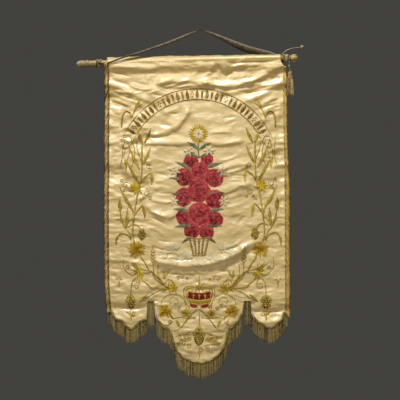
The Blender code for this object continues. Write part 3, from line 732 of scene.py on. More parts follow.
def vine_leaf(centre, radius, turn):
    """A round leaf with five slight lobes, made of long and short tufts."""
    kit = "vine_leaves"
    points = round(16 + 1.8 * radius)
    for k in range(points):
        degrees = turn + 360.0 * (k + vary(-0.3, 0.3)) / points
        lobe = 0.93 + 0.07 * math.cos(math.radians(5.0 * (degrees - turn)))
        tip = polar(centre, radius * lobe * vary(0.80, 1.08), degrees)
        start = polar(centre, 0.08 * radius, degrees)
        bend = vary(-0.08, 0.08)
        edge = "outlines_and_shadow" if k % 3 == 0 else None
        leaf(kit, start, tip, 0.56 * radius, bend, vary(0.3, 1.0), vary(1.4, 2.2), False, edge=edge)
    for k in range(9):
        degrees = turn + 40.0 * k + vary(-8, 8)
        tip = polar(centre, radius * vary(0.35, 0.55), degrees)
        leaf(kit, centre, tip, 0.4 * radius, 0.0, vary(-0.3, 0.5), 2.2, False, False, 1.0, None)
    for k in range(5):
        tip = polar(centre, 0.7 * radius, turn + 72.0 * k)
        leaf(kit, centre, tip, 0.9, 0.04, -0.3, 1.4, False, False, 1.8, None)


def cluster(centre, tips, width):
    """Narrow bright leaves spread from one place."""
    for tip in tips:
        leaf("lilies", centre, tip, width, vary(-0.1, 0.1), vary(0.2, 0.9), 1.8)


def lily(centre, radius, turn, petals=6):
    """An open flower of pointed petals, each pair with a shorter one between."""
    kit = "lilies"
    for k in range(2 * petals):
        degrees = turn + 180.0 * k / petals + vary(-6, 6)
        short = k % 2
        reach = radius * vary(0.86, 1.14) * (0.72 if short else 1.0)
        tone = vary(0.1, 0.5) if short else vary(0.45, 1.0)
        leaf(kit, centre, polar(centre, reach, degrees), radius * 0.85, 0.06, tone, 2.0 - 0.4 * short)
    for k in range(5):
        dome("wine_silk", polar(centre, 0.18 * radius, 72.0 * k), 1.5, 2.6, 0.3, 1.0, 1.2)


def grapes(centre, step, rows):
    """A bunch of round knots on a dark ground that paints shade into the gaps between them, with small leaves
    over it.
    """
    kit = "grapes"
    high = centre[1] - (len(rows) + 0.6) * step * 0.42
    low = centre[1] + (len(rows) + 0.8) * step * 0.42
    wide = max(rows) * step * SQUARE * 0.9 / LEAF_WIDEN
    # Painted shade: a dark leaf of thread under the knots darkens the gaps between them
    leaf(kit, (centre[0], low), (centre[0], high), wide, 0.0, -0.2, 0.7, False, False, 0.0, None)
    for row, count in enumerate(rows):
        for k in range(count):
            u = centre[0] + (k - (count - 1) / 2) * step + vary(-0.12, 0.12)
            v = high + (row + 0.8) * step * 0.84
            tall = vary(2.2, 3.2)
            dome(kit, (u, v), step * SQUARE * 0.44, tall, vary(0.3, 1.2), 1.0, 0.4)
    for degrees in (50, 90, 130, 15, 165):
        base = (centre[0], high + 0.8)
        tip = polar(base, step * 1.7, degrees)
        leaf("leaves", base, tip, 2.6, 0.05, vary(0.4, 0.9), 1.5, False, False, 1.0, None)


def curl(start, radius, turns, turn, kit_name="tendrils", width=1.5):
    """A tendril that winds into itself."""
    places = []
    for k in range(int(12 * turns) + 1):
        share = k / (12 * turns)
        away = radius * (1.0 - 0.72 * share)
        places.append(polar(start, away, turn + 360.0 * turns * share))
    stem(kit_name, places, width, 0.4)


def wheat(base, top, width):
    """An ear: pairs of grains up a stem, with beards."""
    kit = "wheat"
    base = np.array(base, float)
    top = np.array(top, float)
    run = top - base
    degrees = math.degrees(math.atan2(-run[1], run[0]))
    stem(kit, (base, base + run * 0.5, top), 1.2, 0.4)
    pairs = 4
    for k in range(pairs):
        foot = base + run * (0.05 + 0.78 * k / pairs)
        for hand in (-1, 1):
            heading = degrees + hand * 30.0
            leaf(kit, foot, polar(foot, 4.2, heading), width, 0.12 * hand, vary(0.4, 0.9), 1.6, False)
            tip = polar(polar(foot, 3.6, heading), 3.4, degrees + hand * 12.0)
            stem("tendrils", (polar(foot, 3.4, heading), tip), 0.5, 0.5)
    leaf(kit, base + run * 0.8, base + run * 1.1, width, 0.0, 0.6, 1.6, False)


def half(places, hand):
    """Places on the left half of the wreath, or on the right one, slightly higher beside the middle."""
    if hand > 0:
        return list(places)
    return [(MIRROR - u, v - 2.6 * math.exp(-(((v - 185.0) / 48.0) ** 2))) for u, v in places]


STEMS = (
    (((142, 143), (142, 154), (142, 166), (141, 183)), 4.4),
    (((141, 180), (138, 192), (136, 203), (134, 216)), 4.2),
    (((134, 214), (133, 226), (133, 236), (135, 244)), 4.4),
    (((133, 211), (134, 216), (133.5, 221)), 5.0),
    (((141, 183), (145, 177), (151, 172.6)), 3.4),
    (((134, 217), (137, 211), (142, 205.4)), 3.6),
    (((121, 221), (120.4, 213), (120, 204)), 1.8),
    (((132, 241), (128, 235.4), (122, 233.2), (118, 236)), 3.4),
    (((126, 227), (128, 223), (131, 219.5), (134, 218)), 2.0),
    (((128, 227), (133, 224.6), (138, 225.6), (141, 230)), 2.2),
    (((115, 219), (120, 219.6), (125, 226.6)), 1.8),
    (((126, 229), (129, 232), (132, 239)), 2.2),
    (((132, 261), (136, 265.6), (141, 268.6), (149, 270.6), (153, 272.4)), 3.0),
    (((140, 256), (144, 261), (147, 266), (149.5, 270.6)), 3.6),
    (((150, 269.6), (155, 274.4), (160, 280), (165, 285.6), (171, 289)), 3.8),
    (((154, 273), (153.4, 267), (153, 262)), 2.2),
    (((158.6, 262), (157.6, 269), (158.6, 276), (165, 284.6)), 2.6),
    (((152, 273.4), (156, 279), (161.5, 284), (168, 287.4)), 2.6),
    (((124, 258), (123.4, 265), (126, 270.6), (131, 274.4), (136, 274.6)), 2.0),
    (((119, 287.4), (119.4, 283), (120.6, 278)), 1.6),
    (((119.4, 283), (117.6, 280)), 1.4),
    (((141, 272.6), (146, 272.6), (151, 272)), 2.2),
    (((136.5, 277), (132.6, 281.6), (131.4, 288), (131, 297)), 3.0),
    (((143, 281), (147.4, 283.6), (151, 287), (160, 288.2), (169, 289)), 3.6),
    (((165, 285), (166.4, 280.4), (169.6, 279.4), (172.6, 281.6), (175, 286)), 2.6),
    (((165, 289), (157, 291.4), (150, 295.6), (141, 301)), 2.6),
    (((161, 305), (162.6, 299), (168, 295), (175, 293.8), (181, 296.4), (184.6, 301), (186, 308)), 1.8),
    (((171, 304), (169.6, 300), (172.6, 297), (176.6, 298.4), (178.4, 302), (177, 305.6)), 1.4),
    (((197.4, 309), (192, 313.6), (187, 319.6), (181, 327.4)), 2.8),
    (((172, 319), (180, 317.2), (188, 318.4), (196, 317.4)), 1.6),
    (((160, 321), (164, 324.6), (169.6, 324.4), (173, 321)), 1.4),
    (((181, 327.4), (176, 330.6), (171.6, 330)), 1.6),
    (((121.6, 128), (122, 119), (124, 112.8), (127, 111.2), (130.4, 113.4), (131.8, 118.6)), 4.8),
    (((131.8, 118), (134, 112), (137, 107), (142, 103.6)), 2.8),
    (((121.4, 139), (122.6, 148), (122.4, 157), (120.6, 166)), 2.0),
    (((125, 149), (124, 157), (125.6, 164)), 1.8),
    (((127.6, 141), (129.6, 150), (128, 158), (126.4, 163)), 2.0),
    (((131.6, 141), (134.4, 149), (134.6, 158), (131.4, 167.6)), 2.4),
    (((136.6, 141), (137.4, 150), (141, 160), (142, 168)), 2.4),
    (((174, 337), (180, 335.6), (186, 334), (191, 331)), 2.0),
    (((176, 343), (182, 341), (188, 341.4)), 1.8),
)
LEAVES = (
    ((143, 144), (137.6, 130), 9.5, 0.05),
    ((144, 144), (151, 128), 9.0, -0.05),
    ((140, 170), (130, 149), 10.0, 0.04),
    ((140, 184), (127.4, 162), 9.5, 0.05),
    ((142, 166), (150.6, 147), 9.0, -0.06),
    ((151, 172.4), (151.4, 185), 9.5, 0.14),
    ((134, 212), (119.6, 187), 9.5, 0.04),
    ((120.4, 212), (119.8, 199), 12.0, 0.0),
    ((142, 205), (144.6, 218.4), 10.0, 0.16),
    ((126, 229), (127.6, 208), 9.0, -0.03),
    ((126, 229), (121, 214), 7.0, 0.08),
    ((118.4, 235.4), (116.4, 246), 7.5, -0.18),
    ((139, 301.4), (147.6, 293.6), 8.5, -0.08),
    ((165, 279), (163.4, 270.4), 8.0, 0.05),
    ((166, 276), (169, 270.6), 6.5, 0.05),
    ((134.6, 108), (140.4, 99.4), 9.0, -0.08),
    ((126, 158.6), (126, 171.6), 8.5, 0.0),
    ((176, 320), (179.6, 327), 8.0, 0.1),
    ((169, 314), (173.6, 318.4), 6.0, 0.0),
)

# Loose knots of bright thread as (across, down, spread, number)
KNOTS = (
    (148.6, 164, 2.4, 9),
    (124, 185, 2.6, 8),
    (146, 197, 3.4, 16),
    (150, 190, 1.8, 6),
    (146, 238, 2.6, 6),
    (150, 246, 2.4, 5),
    (124, 262, 2.6, 6),
    (147, 262, 2.4, 6),
    (172, 278, 2.6, 8),
    (184, 282, 2.6, 8),
    (178, 312, 2.6, 8),
    (184, 330, 3.0, 8),
    (184, 341, 3.6, 12),
    (122, 313, 3.0, 6),
    (118, 160, 2.4, 6),
    (129, 196, 2.4, 6),
)


# Tendrils beside the wreath as (centre, radius, turns)
CURLS = (
    ((125.6, 185), 3.2, 1.2),
    ((148.4, 166.6), 2.6, 1.4),
    ((147, 193.6), 3.0, 1.3),
    ((150.4, 198), 2.0, 1.2),
    ((141, 200.6), 1.8, 1.1),
    ((137, 285.6), 3.4, 1.4),
    ((128, 267), 2.2, 1.2),
    ((134, 314), 2.2, 1.2),
    ((175.4, 304.4), 1.6, 1.2),
    ((178.5, 278), 2.2, 1.3),
    ((182.8, 277.2), 1.9, 1.2),
    ((187, 278.6), 1.2, 1.0),
    ((179.6, 307.6), 2.0, 1.4),
    ((170, 322), 2.0, 1.2),
    ((189.6, 339), 2.0, 1.4),
    ((184, 342.4), 2.4, 1.4),
    ((178.6, 344.4), 1.6, 1.2),
    ((155, 262.6), 2.0, 1.1),
    ((143.6, 198), 1.5, 1.2),
    ((124, 190.6), 1.6, 1.1),
    ((121.6, 181), 1.8, 1.2),
    ((150.4, 169.6), 1.5, 1.1),
    ((186.4, 336.6), 3.0, 1.6),
    ((181.4, 341.4), 2.6, 1.5),
    ((189.4, 346), 2.4, 1.4),
    ((179.6, 336.4), 1.8, 1.2),
)

# Spread leaves as (their foot, their tips), and the place and size of the flowers and fruit
LEAF_SPREADS = (
    (
        (139, 271.6),
        (
            (131.6, 264.6),
            (135.4, 262.6),
            (139.6, 264),
            (132.6, 269.6),
            (134, 274.6),
            (137, 280),
            (140.4, 285),
            (143, 281),
            (144, 275.6),
            (141, 267.6),
        ),
        5.0,
    ),
    ((168, 289), ((162.6, 285), (162, 292), (172, 295), (178, 290), (175.6, 284.6), (169, 282)), 2.6),
    ((131, 315.6), ((126.4, 311.4), (129.6, 310), (133.8, 310.8), (135.2, 315.6), (131.2, 320.4)), 3.6),
)
FLOWER = (136, 188.4)
LARGE_LEAF = (136.6, 249.6)
LOW_LEAF = (165, 311)
SMALL_LEAF = (186, 313)
BLOOM = (173, 288)
UPPER_GRAPES = (142, 235)
LOWER_GRAPES = (131, 302.6)
BERRIES = ((117, 278.4), (120, 276.4), (121.8, 279.4))
EAR = ((153.2, 264), (153, 247))
LOW_FLOWER = (210.6, 339)


def half_wreath(hand):
    """One half of the vine, lily and wheat wreath: 1 for the left one, -1 for the right one."""
    for places, width in STEMS:
        stem("stems", half(places, hand), width, vary(0.3, 0.7))
    for base, tip, width, bend in LEAVES:
        base, tip = half((base, tip), hand)
        leaf("leaves", base, tip, width, bend * hand, vary(0.3, 0.85), 1.9)
    features = (FLOWER, LARGE_LEAF, LOW_LEAF, SMALL_LEAF, BLOOM, UPPER_GRAPES, LOWER_GRAPES)
    flower, large, low, small, bloom, upper, lower = half(features, hand)
    lily(flower, 7.6, 12.0 + 5.0 * hand)
    vine_leaf(large, 9.6, 90.0 + 12.0 * hand)
    vine_leaf(low, 8.0, 80.0)
    vine_leaf(small, 3.8, 100.0)
    for k in range(13):
        reach = vary(4.6, 6.6) * (1.25 if k % 3 == 0 else 1.0)
        tip = polar(small, reach, 27.7 * k)
        leaf("leaves", small, tip, 2.6, vary(-0.1, 0.1), vary(0.3, 0.9), 1.5, edge=None)
    lily(bloom, 6.0, 20.0 * hand, 5)
    grapes(upper, 1.95, (3, 4, 5, 4, 3, 2))
    grapes(lower, 2.35, (4, 5, 5, 4, 3, 1))
    wheat(*half(EAR, hand), 3.0)
    for foot, tips, width in LEAF_SPREADS:
        cluster(half((foot,), hand)[0], half(tips, hand), width)
    for berry in half(BERRIES, hand):
        dome("grapes", berry, 3.4, 2.4, 0.3)
    for centre, radius, turns in CURLS:
        curl(half((centre,), hand)[0], radius, turns, 90.0 - 70.0 * hand)


def wreath():
    """Both halves of the wreath with its loose knots, and what hangs between them."""
    for hand in (1.0, -1.0):
        half_wreath(hand)
    for hand in (1.0, -1.0):
        for u, v, reach, count in KNOTS:
            for _ in range(count):
                spot = (chance.gauss(u, reach), chance.gauss(v, reach))
                dome("knots", half((spot,), hand)[0], vary(1.3, 2.0), 1.4, chance.random())
    grapes((199, 336.6), 2.2, (4, 6, 6, 6, 5, 4, 3, 2, 1))
    stem("stems", ((199, 310), (199.4, 320), (199, 329)), 2.2)
    curl((200.4, 349), 2.6, 1.3, 200.0, "stems", 1.6)
    stem("tendrils", ((198, 350.6), (199.6, 355), (198.6, 360)), 1.5)
    for k in range(9):
        tip = polar(LOW_FLOWER, 5.4 * vary(0.8, 1.1), 40.0 * k)
        leaf("wheat", LOW_FLOWER, tip, 4.0, 0.05, vary(0.3, 1.0), 1.4, False, False, 0.0, None)


# The scroll over the middle: an arc with a row of plain ornaments
SCROLL_CENTRE = (197.5, 170.0)
SCROLL_INNER = 70.6
SCROLL_OUTER = 81.4
SCROLL_SPAN = (23.5, 157.0)


def scroll():
    edges = "stems"
    for radius, width in ((SCROLL_INNER, 2.2), (SCROLL_OUTER, 2.0)):
        angles = np.linspace(*SCROLL_SPAN, 40)
        stem(edges, [polar(SCROLL_CENTRE, radius, a) for a in angles], width, 0.35)
    for end, hand in ((SCROLL_SPAN[0], -1), (SCROLL_SPAN[1], 1)):
        inner = polar(SCROLL_CENTRE, SCROLL_INNER, end)
        outer = polar(SCROLL_CENTRE, SCROLL_OUTER, end)
        notch = polar(SCROLL_CENTRE, 76.0, end - 3.0 * hand)
        stem(edges, (inner, notch, outer), 2.0, 0.35)
        tail = polar(SCROLL_CENTRE, 73.0, end + 5.0 * hand)
        stem(edges, (inner, tail), 1.8, 0.35)
        fold = (polar(SCROLL_CENTRE, 78.4, end), polar(SCROLL_CENTRE, 77.4, end + 6.0 * hand), tail)
        stem(edges, fold, 1.8, 0.35)
    kit = "ornaments"
    middle = (SCROLL_INNER + SCROLL_OUTER) / 2
    step = 3.72
    count = int((SCROLL_SPAN[1] - SCROLL_SPAN[0] - 9.0) / step)
    start = (SCROLL_SPAN[0] + SCROLL_SPAN[1] - (count - 1) * step) / 2
    for k in range(count):
        angle = start + k * step
        if k % 7 == 3:
            for radius in (middle - 2.2, middle + 2.2):
                dome(kit, polar(SCROLL_CENTRE, radius, angle), 4.0, 2.0, 0.5)
            for side in (-0.95, 0.95):
                dome(kit, polar(SCROLL_CENTRE, middle, angle + side), 3.4, 2.0, 0.3)
        elif k % 2 == 0:
            low = polar(SCROLL_CENTRE, middle - 4.7, angle)
            high = polar(SCROLL_CENTRE, middle + 4.7, angle)
            leaf(kit, low, high, 9.4, 0.0, vary(0.2, 0.7), 2.4)
        else:
            for side in (-0.62, 0.62):
                low = polar(SCROLL_CENTRE, middle - 4.2, angle)
                high = polar(SCROLL_CENTRE, middle + 4.0, angle + side)
                leaf(kit, low, high, 5.6, -0.12 * side, vary(0.2, 0.6), 2.2)
            dome(kit, polar(SCROLL_CENTRE, middle - 3.8, angle), 3.0, 2.2, 0.4)


def crown():
    """A plain crown: a gold band, red filling under gold tips, and two low arches with a spire."""
    gold = "crown_gold"
    middle = 199.2
    red = "wine_silk"
    filling = ((187, 294.2), (193, 295.6), (middle, 296.2), (205.4, 295.6), (211.4, 294.2))
    line = smooth_line([at(u, v) for u, v in filling], 3.0)
    rib(red, line, 3.7 * SQUARE, 1.1, PETAL, 0.55)
    for v, inset, tone in ((300.6, 0.0, 0.8), (302.4, 0.9, 0.5), (304.2, 1.9, 0.75)):
        stem(gold, ((186.6 + inset, v - 1.4), (middle, v), (211.8 - inset, v - 1.4)), 4.5, tone, 2.4)
    for hand in (-1, 1):
        start = (middle + hand * 1.2, 306.8)
        leaf(red, start, (middle + hand * 9.8, 305.0), 9.6, 0.10 * hand, 0.9, 2.2, False, True)
        for spread_by in (0.0, 2.2):
            arch = (
                (middle + hand * (14.4 - 0.8 * spread_by), 299.4 - spread_by),
                (middle + hand * (15.4 - spread_by), 293.0),
                (middle + hand * (15.2 - spread_by), 288.6 + 0.4 * spread_by),
                (middle + hand * (12.8 - 0.6 * spread_by), 286.4 + 0.8 * spread_by),
                (middle + hand * 7.6, 286.2 + 0.8 * spread_by),
                (middle + hand * 3.4, 287.2 + 0.6 * spread_by),
                (middle + hand * 0.6, 289.2),
            )
            stem(gold, arch, 2.9, 0.75, 2.2)
        edge = ((middle + hand * 13.8, 299.0), (middle + hand * 12.2, 304.0), (middle + hand * 9.0, 308.4))
        stem(gold, edge, 2.6, 0.6, 2.0)
    for k in range(5):
        u = 187.6 + 5.8 * k
        foot = 298.8 + 0.8 * math.sin(math.pi * (k + 0.5) / 5)
        leaf(gold, (u, foot), (u, foot - 7.0), 3.2, 0.0, 0.9, 2.0, True, False, 1.2, None)
        for side in (-1, 1):
            tip = (u + 1.7 * side, foot - 5.0)
            leaf(gold, (u, foot - 1.6), tip, 2.2, 0.3 * side, 0.7, 1.6, False, False, 1.2, None)
        dome(gold, (u, foot - 7.2), 3.0, 2.6, 0.9, 1.0, 1.0)
    for k in range(7):
        u = 188.6 + 3.54 * k
        tip = (u + vary(-0.4, 0.4), 287.4 + 0.5 * abs(k - 3) * 0.4)
        leaf("leaves", (u, 293.4), tip, 3.0, 0.0, vary(0.3, 0.8), 1.5, False, False, 0.0, None)
    leaf(gold, (middle, 290.4), (middle, 279.6), 7.0, 0.0, 0.9, 2.6, True, False, 0.4)
    for side in (-1, 1):
        leaf(gold, (middle, 289.6), (middle + 4.4 * side, 283.6), 3.8, 0.1 * side, 0.8, 2.0)
        leaf(gold, (middle, 290.0), (middle + 5.6 * side, 287.2), 3.0, 0.1 * side, 0.8, 1.8)
    stem(gold, ((middle, 282), (middle, 279), (middle, 275.2)), 2.2, 0.8, 2.0)


def rose(centre, radius, turn, shade=0.0):
    """Rings of broad petals with a painted highlight towards their rims, stronger on one side, each on a dark
    edge that partly stands in for the shade beneath it.
    """
    kit = "roses"
    rings = ((1.0, 0.40, 6, 1.2, 0.0), (0.72, 0.20, 5, 2.2, 32.0), (0.44, 0.04, 3, 3.2, 10.0))
    for reach, inner, petals, height, offset in rings:
        for k in range(petals):
            degrees = turn + offset + 360.0 * k / petals + vary(-8, 8)
            base = at(*polar(centre, inner * radius, degrees))
            tip = at(*polar(centre, reach * radius * vary(0.92, 1.06), degrees + vary(-6, 6)))
            rows = np.linspace(0.0, 1.0, 9)
            line = base + (tip - base) * rows[:, None]
            round_end = np.sqrt(np.clip(1.0 - (rows * 1.55 - 0.62) ** 2, 0.02, 1.0))
            wide = reach * radius * SQUARE * 0.58 * round_end
            lift = height - 1.0
            # Painted highlight: paler towards the rims, more so on one side of the rose
            light = 0.62 + 0.16 * math.sin(math.radians(degrees + 25.0)) + vary(-0.10, 0.10)
            tone = shade + 0.10 + light * rows**2.2
            rib(kit, line, wide, 0.5 + 0.5 * rows, PETAL, tone, 0.0, lift)
            # A dark silk edge under each petal, partly painted shade where the petals overlap
            rib("rose_edges_and_shade", line, wide + 1.0, 0.3, PETAL, 0.2, 0.0, lift - 0.3)


def spray():
    """The middle of the banner: an upright spray of roses and lilies in an urn, on pale scrolls."""
    green = "green_leaves"
    pale = "pale_silk"
    gold = "ornaments"
    grey = "grey_silk"
    head = (198.5, 134.0)
    for k in range(22):
        tip = polar(head, 9.8 * vary(0.95, 1.03), 360.0 * k / 22)
        leaf("vine_leaves", polar(head, 3.0, 360.0 * k / 22), tip, 6.4, 0.04, vary(0.3, 1.0), 1.8)
    for k in range(9):
        tip = polar(head, 5.6, 40.0 * k)
        leaf(pale, head, tip, 7.6, 0.0, vary(0.3, 0.9), 1.6, True, True, 1.2, grey)
    dome("amber_silk", head, 6.4, 2.4, 0.5, 1.0, 2.2)
    stem(green, ((198.5, 143), (198.3, 150), (199, 158)), 3.4, 0.3)
    leaves = (
        ((199, 150), (187, 142), 9), ((199, 150), (211, 143), 9), ((199, 158), (184, 152), 9),
        ((199, 158), (214, 153), 9), ((192, 170), (175, 162), 11), ((206, 168), (223, 163), 11),
        ((190, 182), (169, 178), 11), ((208, 178), (228, 176), 11), ((190, 196), (171, 194), 10),
        ((208, 194), (225, 193), 10), ((190, 212), (173, 209), 10), ((208, 212), (224, 209), 10),
        ((192, 226), (175, 227), 10), ((206, 226), (222, 226), 10), ((194, 236), (182, 243), 9),
        ((204, 236), (216, 243), 9),
    )
    for base, tip, width in leaves:
        hand = 1 if tip[0] > base[0] else -1
        leaf(green, base, tip, width, 0.1 * hand, vary(0.2, 0.8), 1.6)
    lilies = (
        (188.6, 151, 110), (209, 150.4, 60), (175, 171, 160),
        (222, 170, 20), (173.6, 201, 190), (223.6, 201, -10),
    )
    for u, v, turn in lilies:
        for k in range(6):
            tip = polar((u, v), 6.2, turn + 60 * k)
            leaf(pale, (u, v), tip, 6.4, 0.05, vary(0.3, 0.9), 2.0, True, False, 0.4, grey)
        dome("amber_silk", (u, v), 4.0, 2.6, 0.6, 1.0, 1.4)
    blooms = (
        ((207, 159.6), 6.6, 40, 0.05), ((191, 161.6), 7.4, 10, 0.0), ((199.6, 171.6), 9.6, 5, 0.08),
        ((184.6, 177), 9.0, 70, -0.06), ((214, 177.6), 9.4, 20, 0.02), ((199, 190.6), 12.0, 50, 0.05),
        ((183.6, 197), 9.6, 15, -0.04), ((214.6, 199), 9.8, 33, 0.0), ((199.6, 213.6), 12.4, 20, 0.08),
        ((184.4, 217.4), 8.6, 80, 0.0), ((214.4, 219.6), 8.4, 0, -0.04), ((192, 230.6), 8.0, 25, -0.02),
        ((206.6, 231.4), 7.8, 60, 0.04),
    )
    for centre, radius, turn, shade in blooms:
        rose(centre, radius, turn, shade)
    for k in range(9):
        share = (k - 4) / 4.0
        top = (199 + 10.6 * share, 237)
        foot = (199 + 6.0 * share, 255)
        flute = pale if k % 2 else gold
        leaf(flute, foot, top, 7.2, 0.1 * share, vary(0.4, 0.9), 2.0, False, False, 0.3, None)
    for v, reach, width in ((238, 12.0, 3.4), (240.4, 11.4, 2.0), (252.6, 7.0, 2.4), (255, 7.6, 3.4)):
        stem(gold, ((199 - reach, v - 0.8), (199, v + 0.6), (199 + reach, v - 0.8)), width, 0.8, 3.0)
    fans = (
        (174.0, 249.0, 7.8, 120), (185.6, 257.6, 8.4, 100), (166.0, 254.0, 5.4, 150), (212.4, 257.6, 8.4, 80),
        (223.6, 249.0, 7.8, 60), (230.6, 253.0, 5.4, 30), (199.0, 263.4, 8.4, 90), (176.4, 261.0, 5.6, 170),
        (221.6, 261.0, 5.6, 10),
    )
    for u, v, radius, turn in fans:
        middle = polar((u, v), 0.4 * radius, turn)
        dome(pale, middle, 0.62 * radius * SQUARE, 1.0, 0.8)
        for k in (0, 6, 1, 5, 2, 4, 3):
            degrees = turn + 30.0 * (k - 3)
            tip = polar((u, v), radius * (1.0 - 0.04 * abs(k - 3)), degrees)
            rise = 0.25 * (3 - abs(k - 3))
            edge = grey if k % 3 == 0 else None
            leaf(pale, (u, v), tip, radius * 1.5, 0.0, vary(0.5, 1.0), 1.2, False, True, rise + 0.6, edge)
        curl((u, v + 1.0), radius * 0.42, 1.2, turn + 90.0, "grey_silk", 1.0)


# Materials
class Paint:
    """A material, with short names for the nodes that it is made of."""

    def __init__(self, name, roughness, metallic=0.0, specular=0.5, anisotropic=0.0):
        self.material = bpy.data.materials.new(name)
        self.material.use_nodes = True
        self.tree = self.material.node_tree
        self.shader = self.tree.nodes["Principled BSDF"].inputs
        self.shader["Roughness"].default_value = roughness
        self.shader["Metallic"].default_value = metallic
        self.shader["Specular IOR Level"].default_value = specular
        self.shader["Anisotropic"].default_value = anisotropic
        self.place = self.add("TexCoord").outputs["Object"]

    def feed(self, socket, value):
        """Links a socket to another one, or sets it to a number, a vector or a colour."""
        if isinstance(value, bpy.types.NodeSocket):
            self.tree.links.new(value, socket)
        elif socket.type == "RGBA":
            socket.default_value = (*value, 1.0)
        else:
            socket.default_value = value

    def add(self, kind, **inputs):
        made = self.tree.nodes.new(f"ShaderNode{kind}")
        for name, value in inputs.items():
            self.feed(made.inputs[name.replace("_", " ")], value)
        return made

    def mix(self, factor, first, second, blend="MIX"):
        made = self.add("Mix")
        made.data_type = "RGBA"
        made.blend_type = blend
        for index, value in ((0, factor), (6, first), (7, second)):
            self.feed(made.inputs[index], value)
        return made.outputs[2]

    def noise(self, scale, detail=3.0, stretch=(1.0, 1.0, 1.0)):
        mapped = self.add("Mapping", Vector=self.place, Scale=stretch).outputs[0]
        return self.add("TexNoise", Vector=mapped, Scale=scale, Detail=detail).outputs["Fac"]

    def spread(self, value, low, high, to_low=0.0, to_high=1.0):
        made = self.add("MapRange", Value=value, From_Min=low, From_Max=high, To_Min=to_low, To_Max=to_high)
        return made.outputs["Result"]

    def maths(self, operation, *values):
        made = self.add("Math")
        made.operation = operation
        for socket, value in zip(made.inputs, values):
            self.feed(socket, value)
        return made.outputs[0]

    def attribute(self, name):
        made = self.add("Attribute")
        made.attribute_name = name
        return made.outputs["Fac"]

    def colour(self, value):
        self.feed(self.shader["Base Color"], value)

    def bump(self, height, strength, distance):
        made = self.add("Bump", Height=height, Strength=strength, Distance=distance)
        self.feed(self.shader["Normal"], made.outputs["Normal"])


def satin(name, light, dark, gloss):
    """Aged silk satin with slubs across it, fine weave and faint stains, with painted shade where the sheet
    faces down and over the top of the pole.
    """
    paint = Paint(name, gloss, 0.0, 1.0, 0.2)
    paint.shader["IOR"].default_value = 1.6
    streaks = paint.noise(46.0, 4.0, (0.7, 1.0, 2.2))
    stains = paint.spread(paint.noise(5.0, 5.0), 0.52, 0.8, 0.0, 0.35)
    painted_shade = paint.attribute("painted_shade")
    deep_painted_shade = paint.spread(painted_shade, 0.9, 2.0)
    colour = paint.mix(paint.spread(streaks, 0.3, 0.75), dark, light)
    colour = paint.mix(stains, colour, (0.60, 0.42, 0.19), "MULTIPLY")
    # Painted shade: browner and darker where the sheet faces down
    colour = paint.mix(painted_shade, colour, (0.93, 0.80, 0.44), "MULTIPLY")
    # Painted shade: darker, greyer and rougher over the top of the pole
    paint.colour(paint.mix(deep_painted_shade, colour, (0.50, 0.52, 0.56), "MULTIPLY"))
    weave = paint.add("TexWave", Vector=paint.place, Scale=420.0, Distortion=1.5)
    weave.bands_direction = "Z"
    height = paint.maths("ADD", paint.maths("MULTIPLY", weave.outputs["Fac"], 0.10), streaks)
    crumple = paint.maths("SUBTRACT", paint.noise(52.0, 2.0, (0.8, 1.0, 1.2)), 0.5)
    crumple = paint.maths("MULTIPLY", paint.maths("ABSOLUTE", crumple), 3.0)
    paint.bump(paint.maths("SUBTRACT", height, crumple), 0.35, 0.0014)
    rough = paint.spread(paint.noise(22.0, 3.0, (0.5, 1.0, 2.0)), 0.3, 0.7, gloss - 0.06, gloss + 0.1)
    paint.feed(paint.shader["Roughness"], paint.maths("ADD", rough, paint.maths("MULTIPLY", deep_painted_shade, 0.3)))
    return paint.material


def thread(
    name, low, high, roughness, metallic=0.0, pitch=1.0, strength=0.7, worn=(0.30, 0.22, 0.10), wear=0.3
):
    """Stitched or twisted thread: tones from one colour to another, ridged across its run, with painted shade
    in the furrows between the ridges.
    """
    paint = Paint(name, roughness, metallic, 0.25)
    coordinates = paint.add("UVMap")
    coordinates.uv_map = "threads"
    along = paint.add("SeparateXYZ", Vector=coordinates.outputs[0]).outputs["Y"]
    patches = paint.noise(90.0)
    shade = paint.maths("ADD", paint.attribute("tone"), paint.spread(patches, 0.3, 0.7, -0.3, 0.3))
    colour = paint.mix(paint.spread(shade, 0.0, 1.0), low, high)
    stains = paint.spread(paint.noise(14.0, 4.0), 0.5, 0.8, 0.0, wear)
    ridges = paint.maths("SINE", paint.maths("MULTIPLY", along, 2 * math.pi / pitch))
    # Painted shade: the colour is darker in the furrows between the ridges
    furrow_shade = paint.spread(ridges, -1.0, -0.2, 0.35, 0.0)
    paint.colour(paint.mix(furrow_shade, paint.mix(stains, colour, worn), (0.25, 0.2, 0.12), "MULTIPLY"))
    paint.bump(paint.maths("ADD", ridges, paint.maths("MULTIPLY", patches, 1.4)), strength, 0.0004)
    return paint.material


# Where the light tip of the pole's left end stops, in metres
TIP_SPAN = (-0.534, -0.530)


def wood(name, dark, light, tip=None):
    """Old varnished wood, with the outermost stretch of the pole's left end in another colour."""
    paint = Paint(name, 0.5, 0.0, 0.35)
    paint.shader["Coat Weight"].default_value = 0.08
    paint.shader["Coat Roughness"].default_value = 0.4
    grain = paint.noise(120.0, 6.0, (0.09, 1.0, 1.0))
    blotch = paint.spread(paint.noise(18.0, 4.0), 0.5, 0.75, 0.0, 0.5)
    colour = paint.mix(paint.spread(grain, 0.32, 0.68), dark, light)
    colour = paint.mix(blotch, colour, (0.30, 0.20, 0.10), "MULTIPLY")
    if tip:
        side = paint.add("SeparateXYZ", Vector=paint.place).outputs["X"]
        colour = paint.mix(paint.spread(side, *TIP_SPAN, 1.0, 0.0), colour, tip)
    paint.colour(colour)
    paint.bump(grain, 0.25, 0.0006)
    return paint.material


def worn_gilt():
    paint = Paint("worn_gilt", 0.46, 0.4)
    wear = paint.noise(240.0, 4.0)
    paint.colour(paint.mix(paint.spread(wear, 0.45, 0.7), (0.30, 0.24, 0.13), (0.13, 0.10, 0.05)))
    paint.bump(wear, 0.2, 0.0003)
    return paint.material


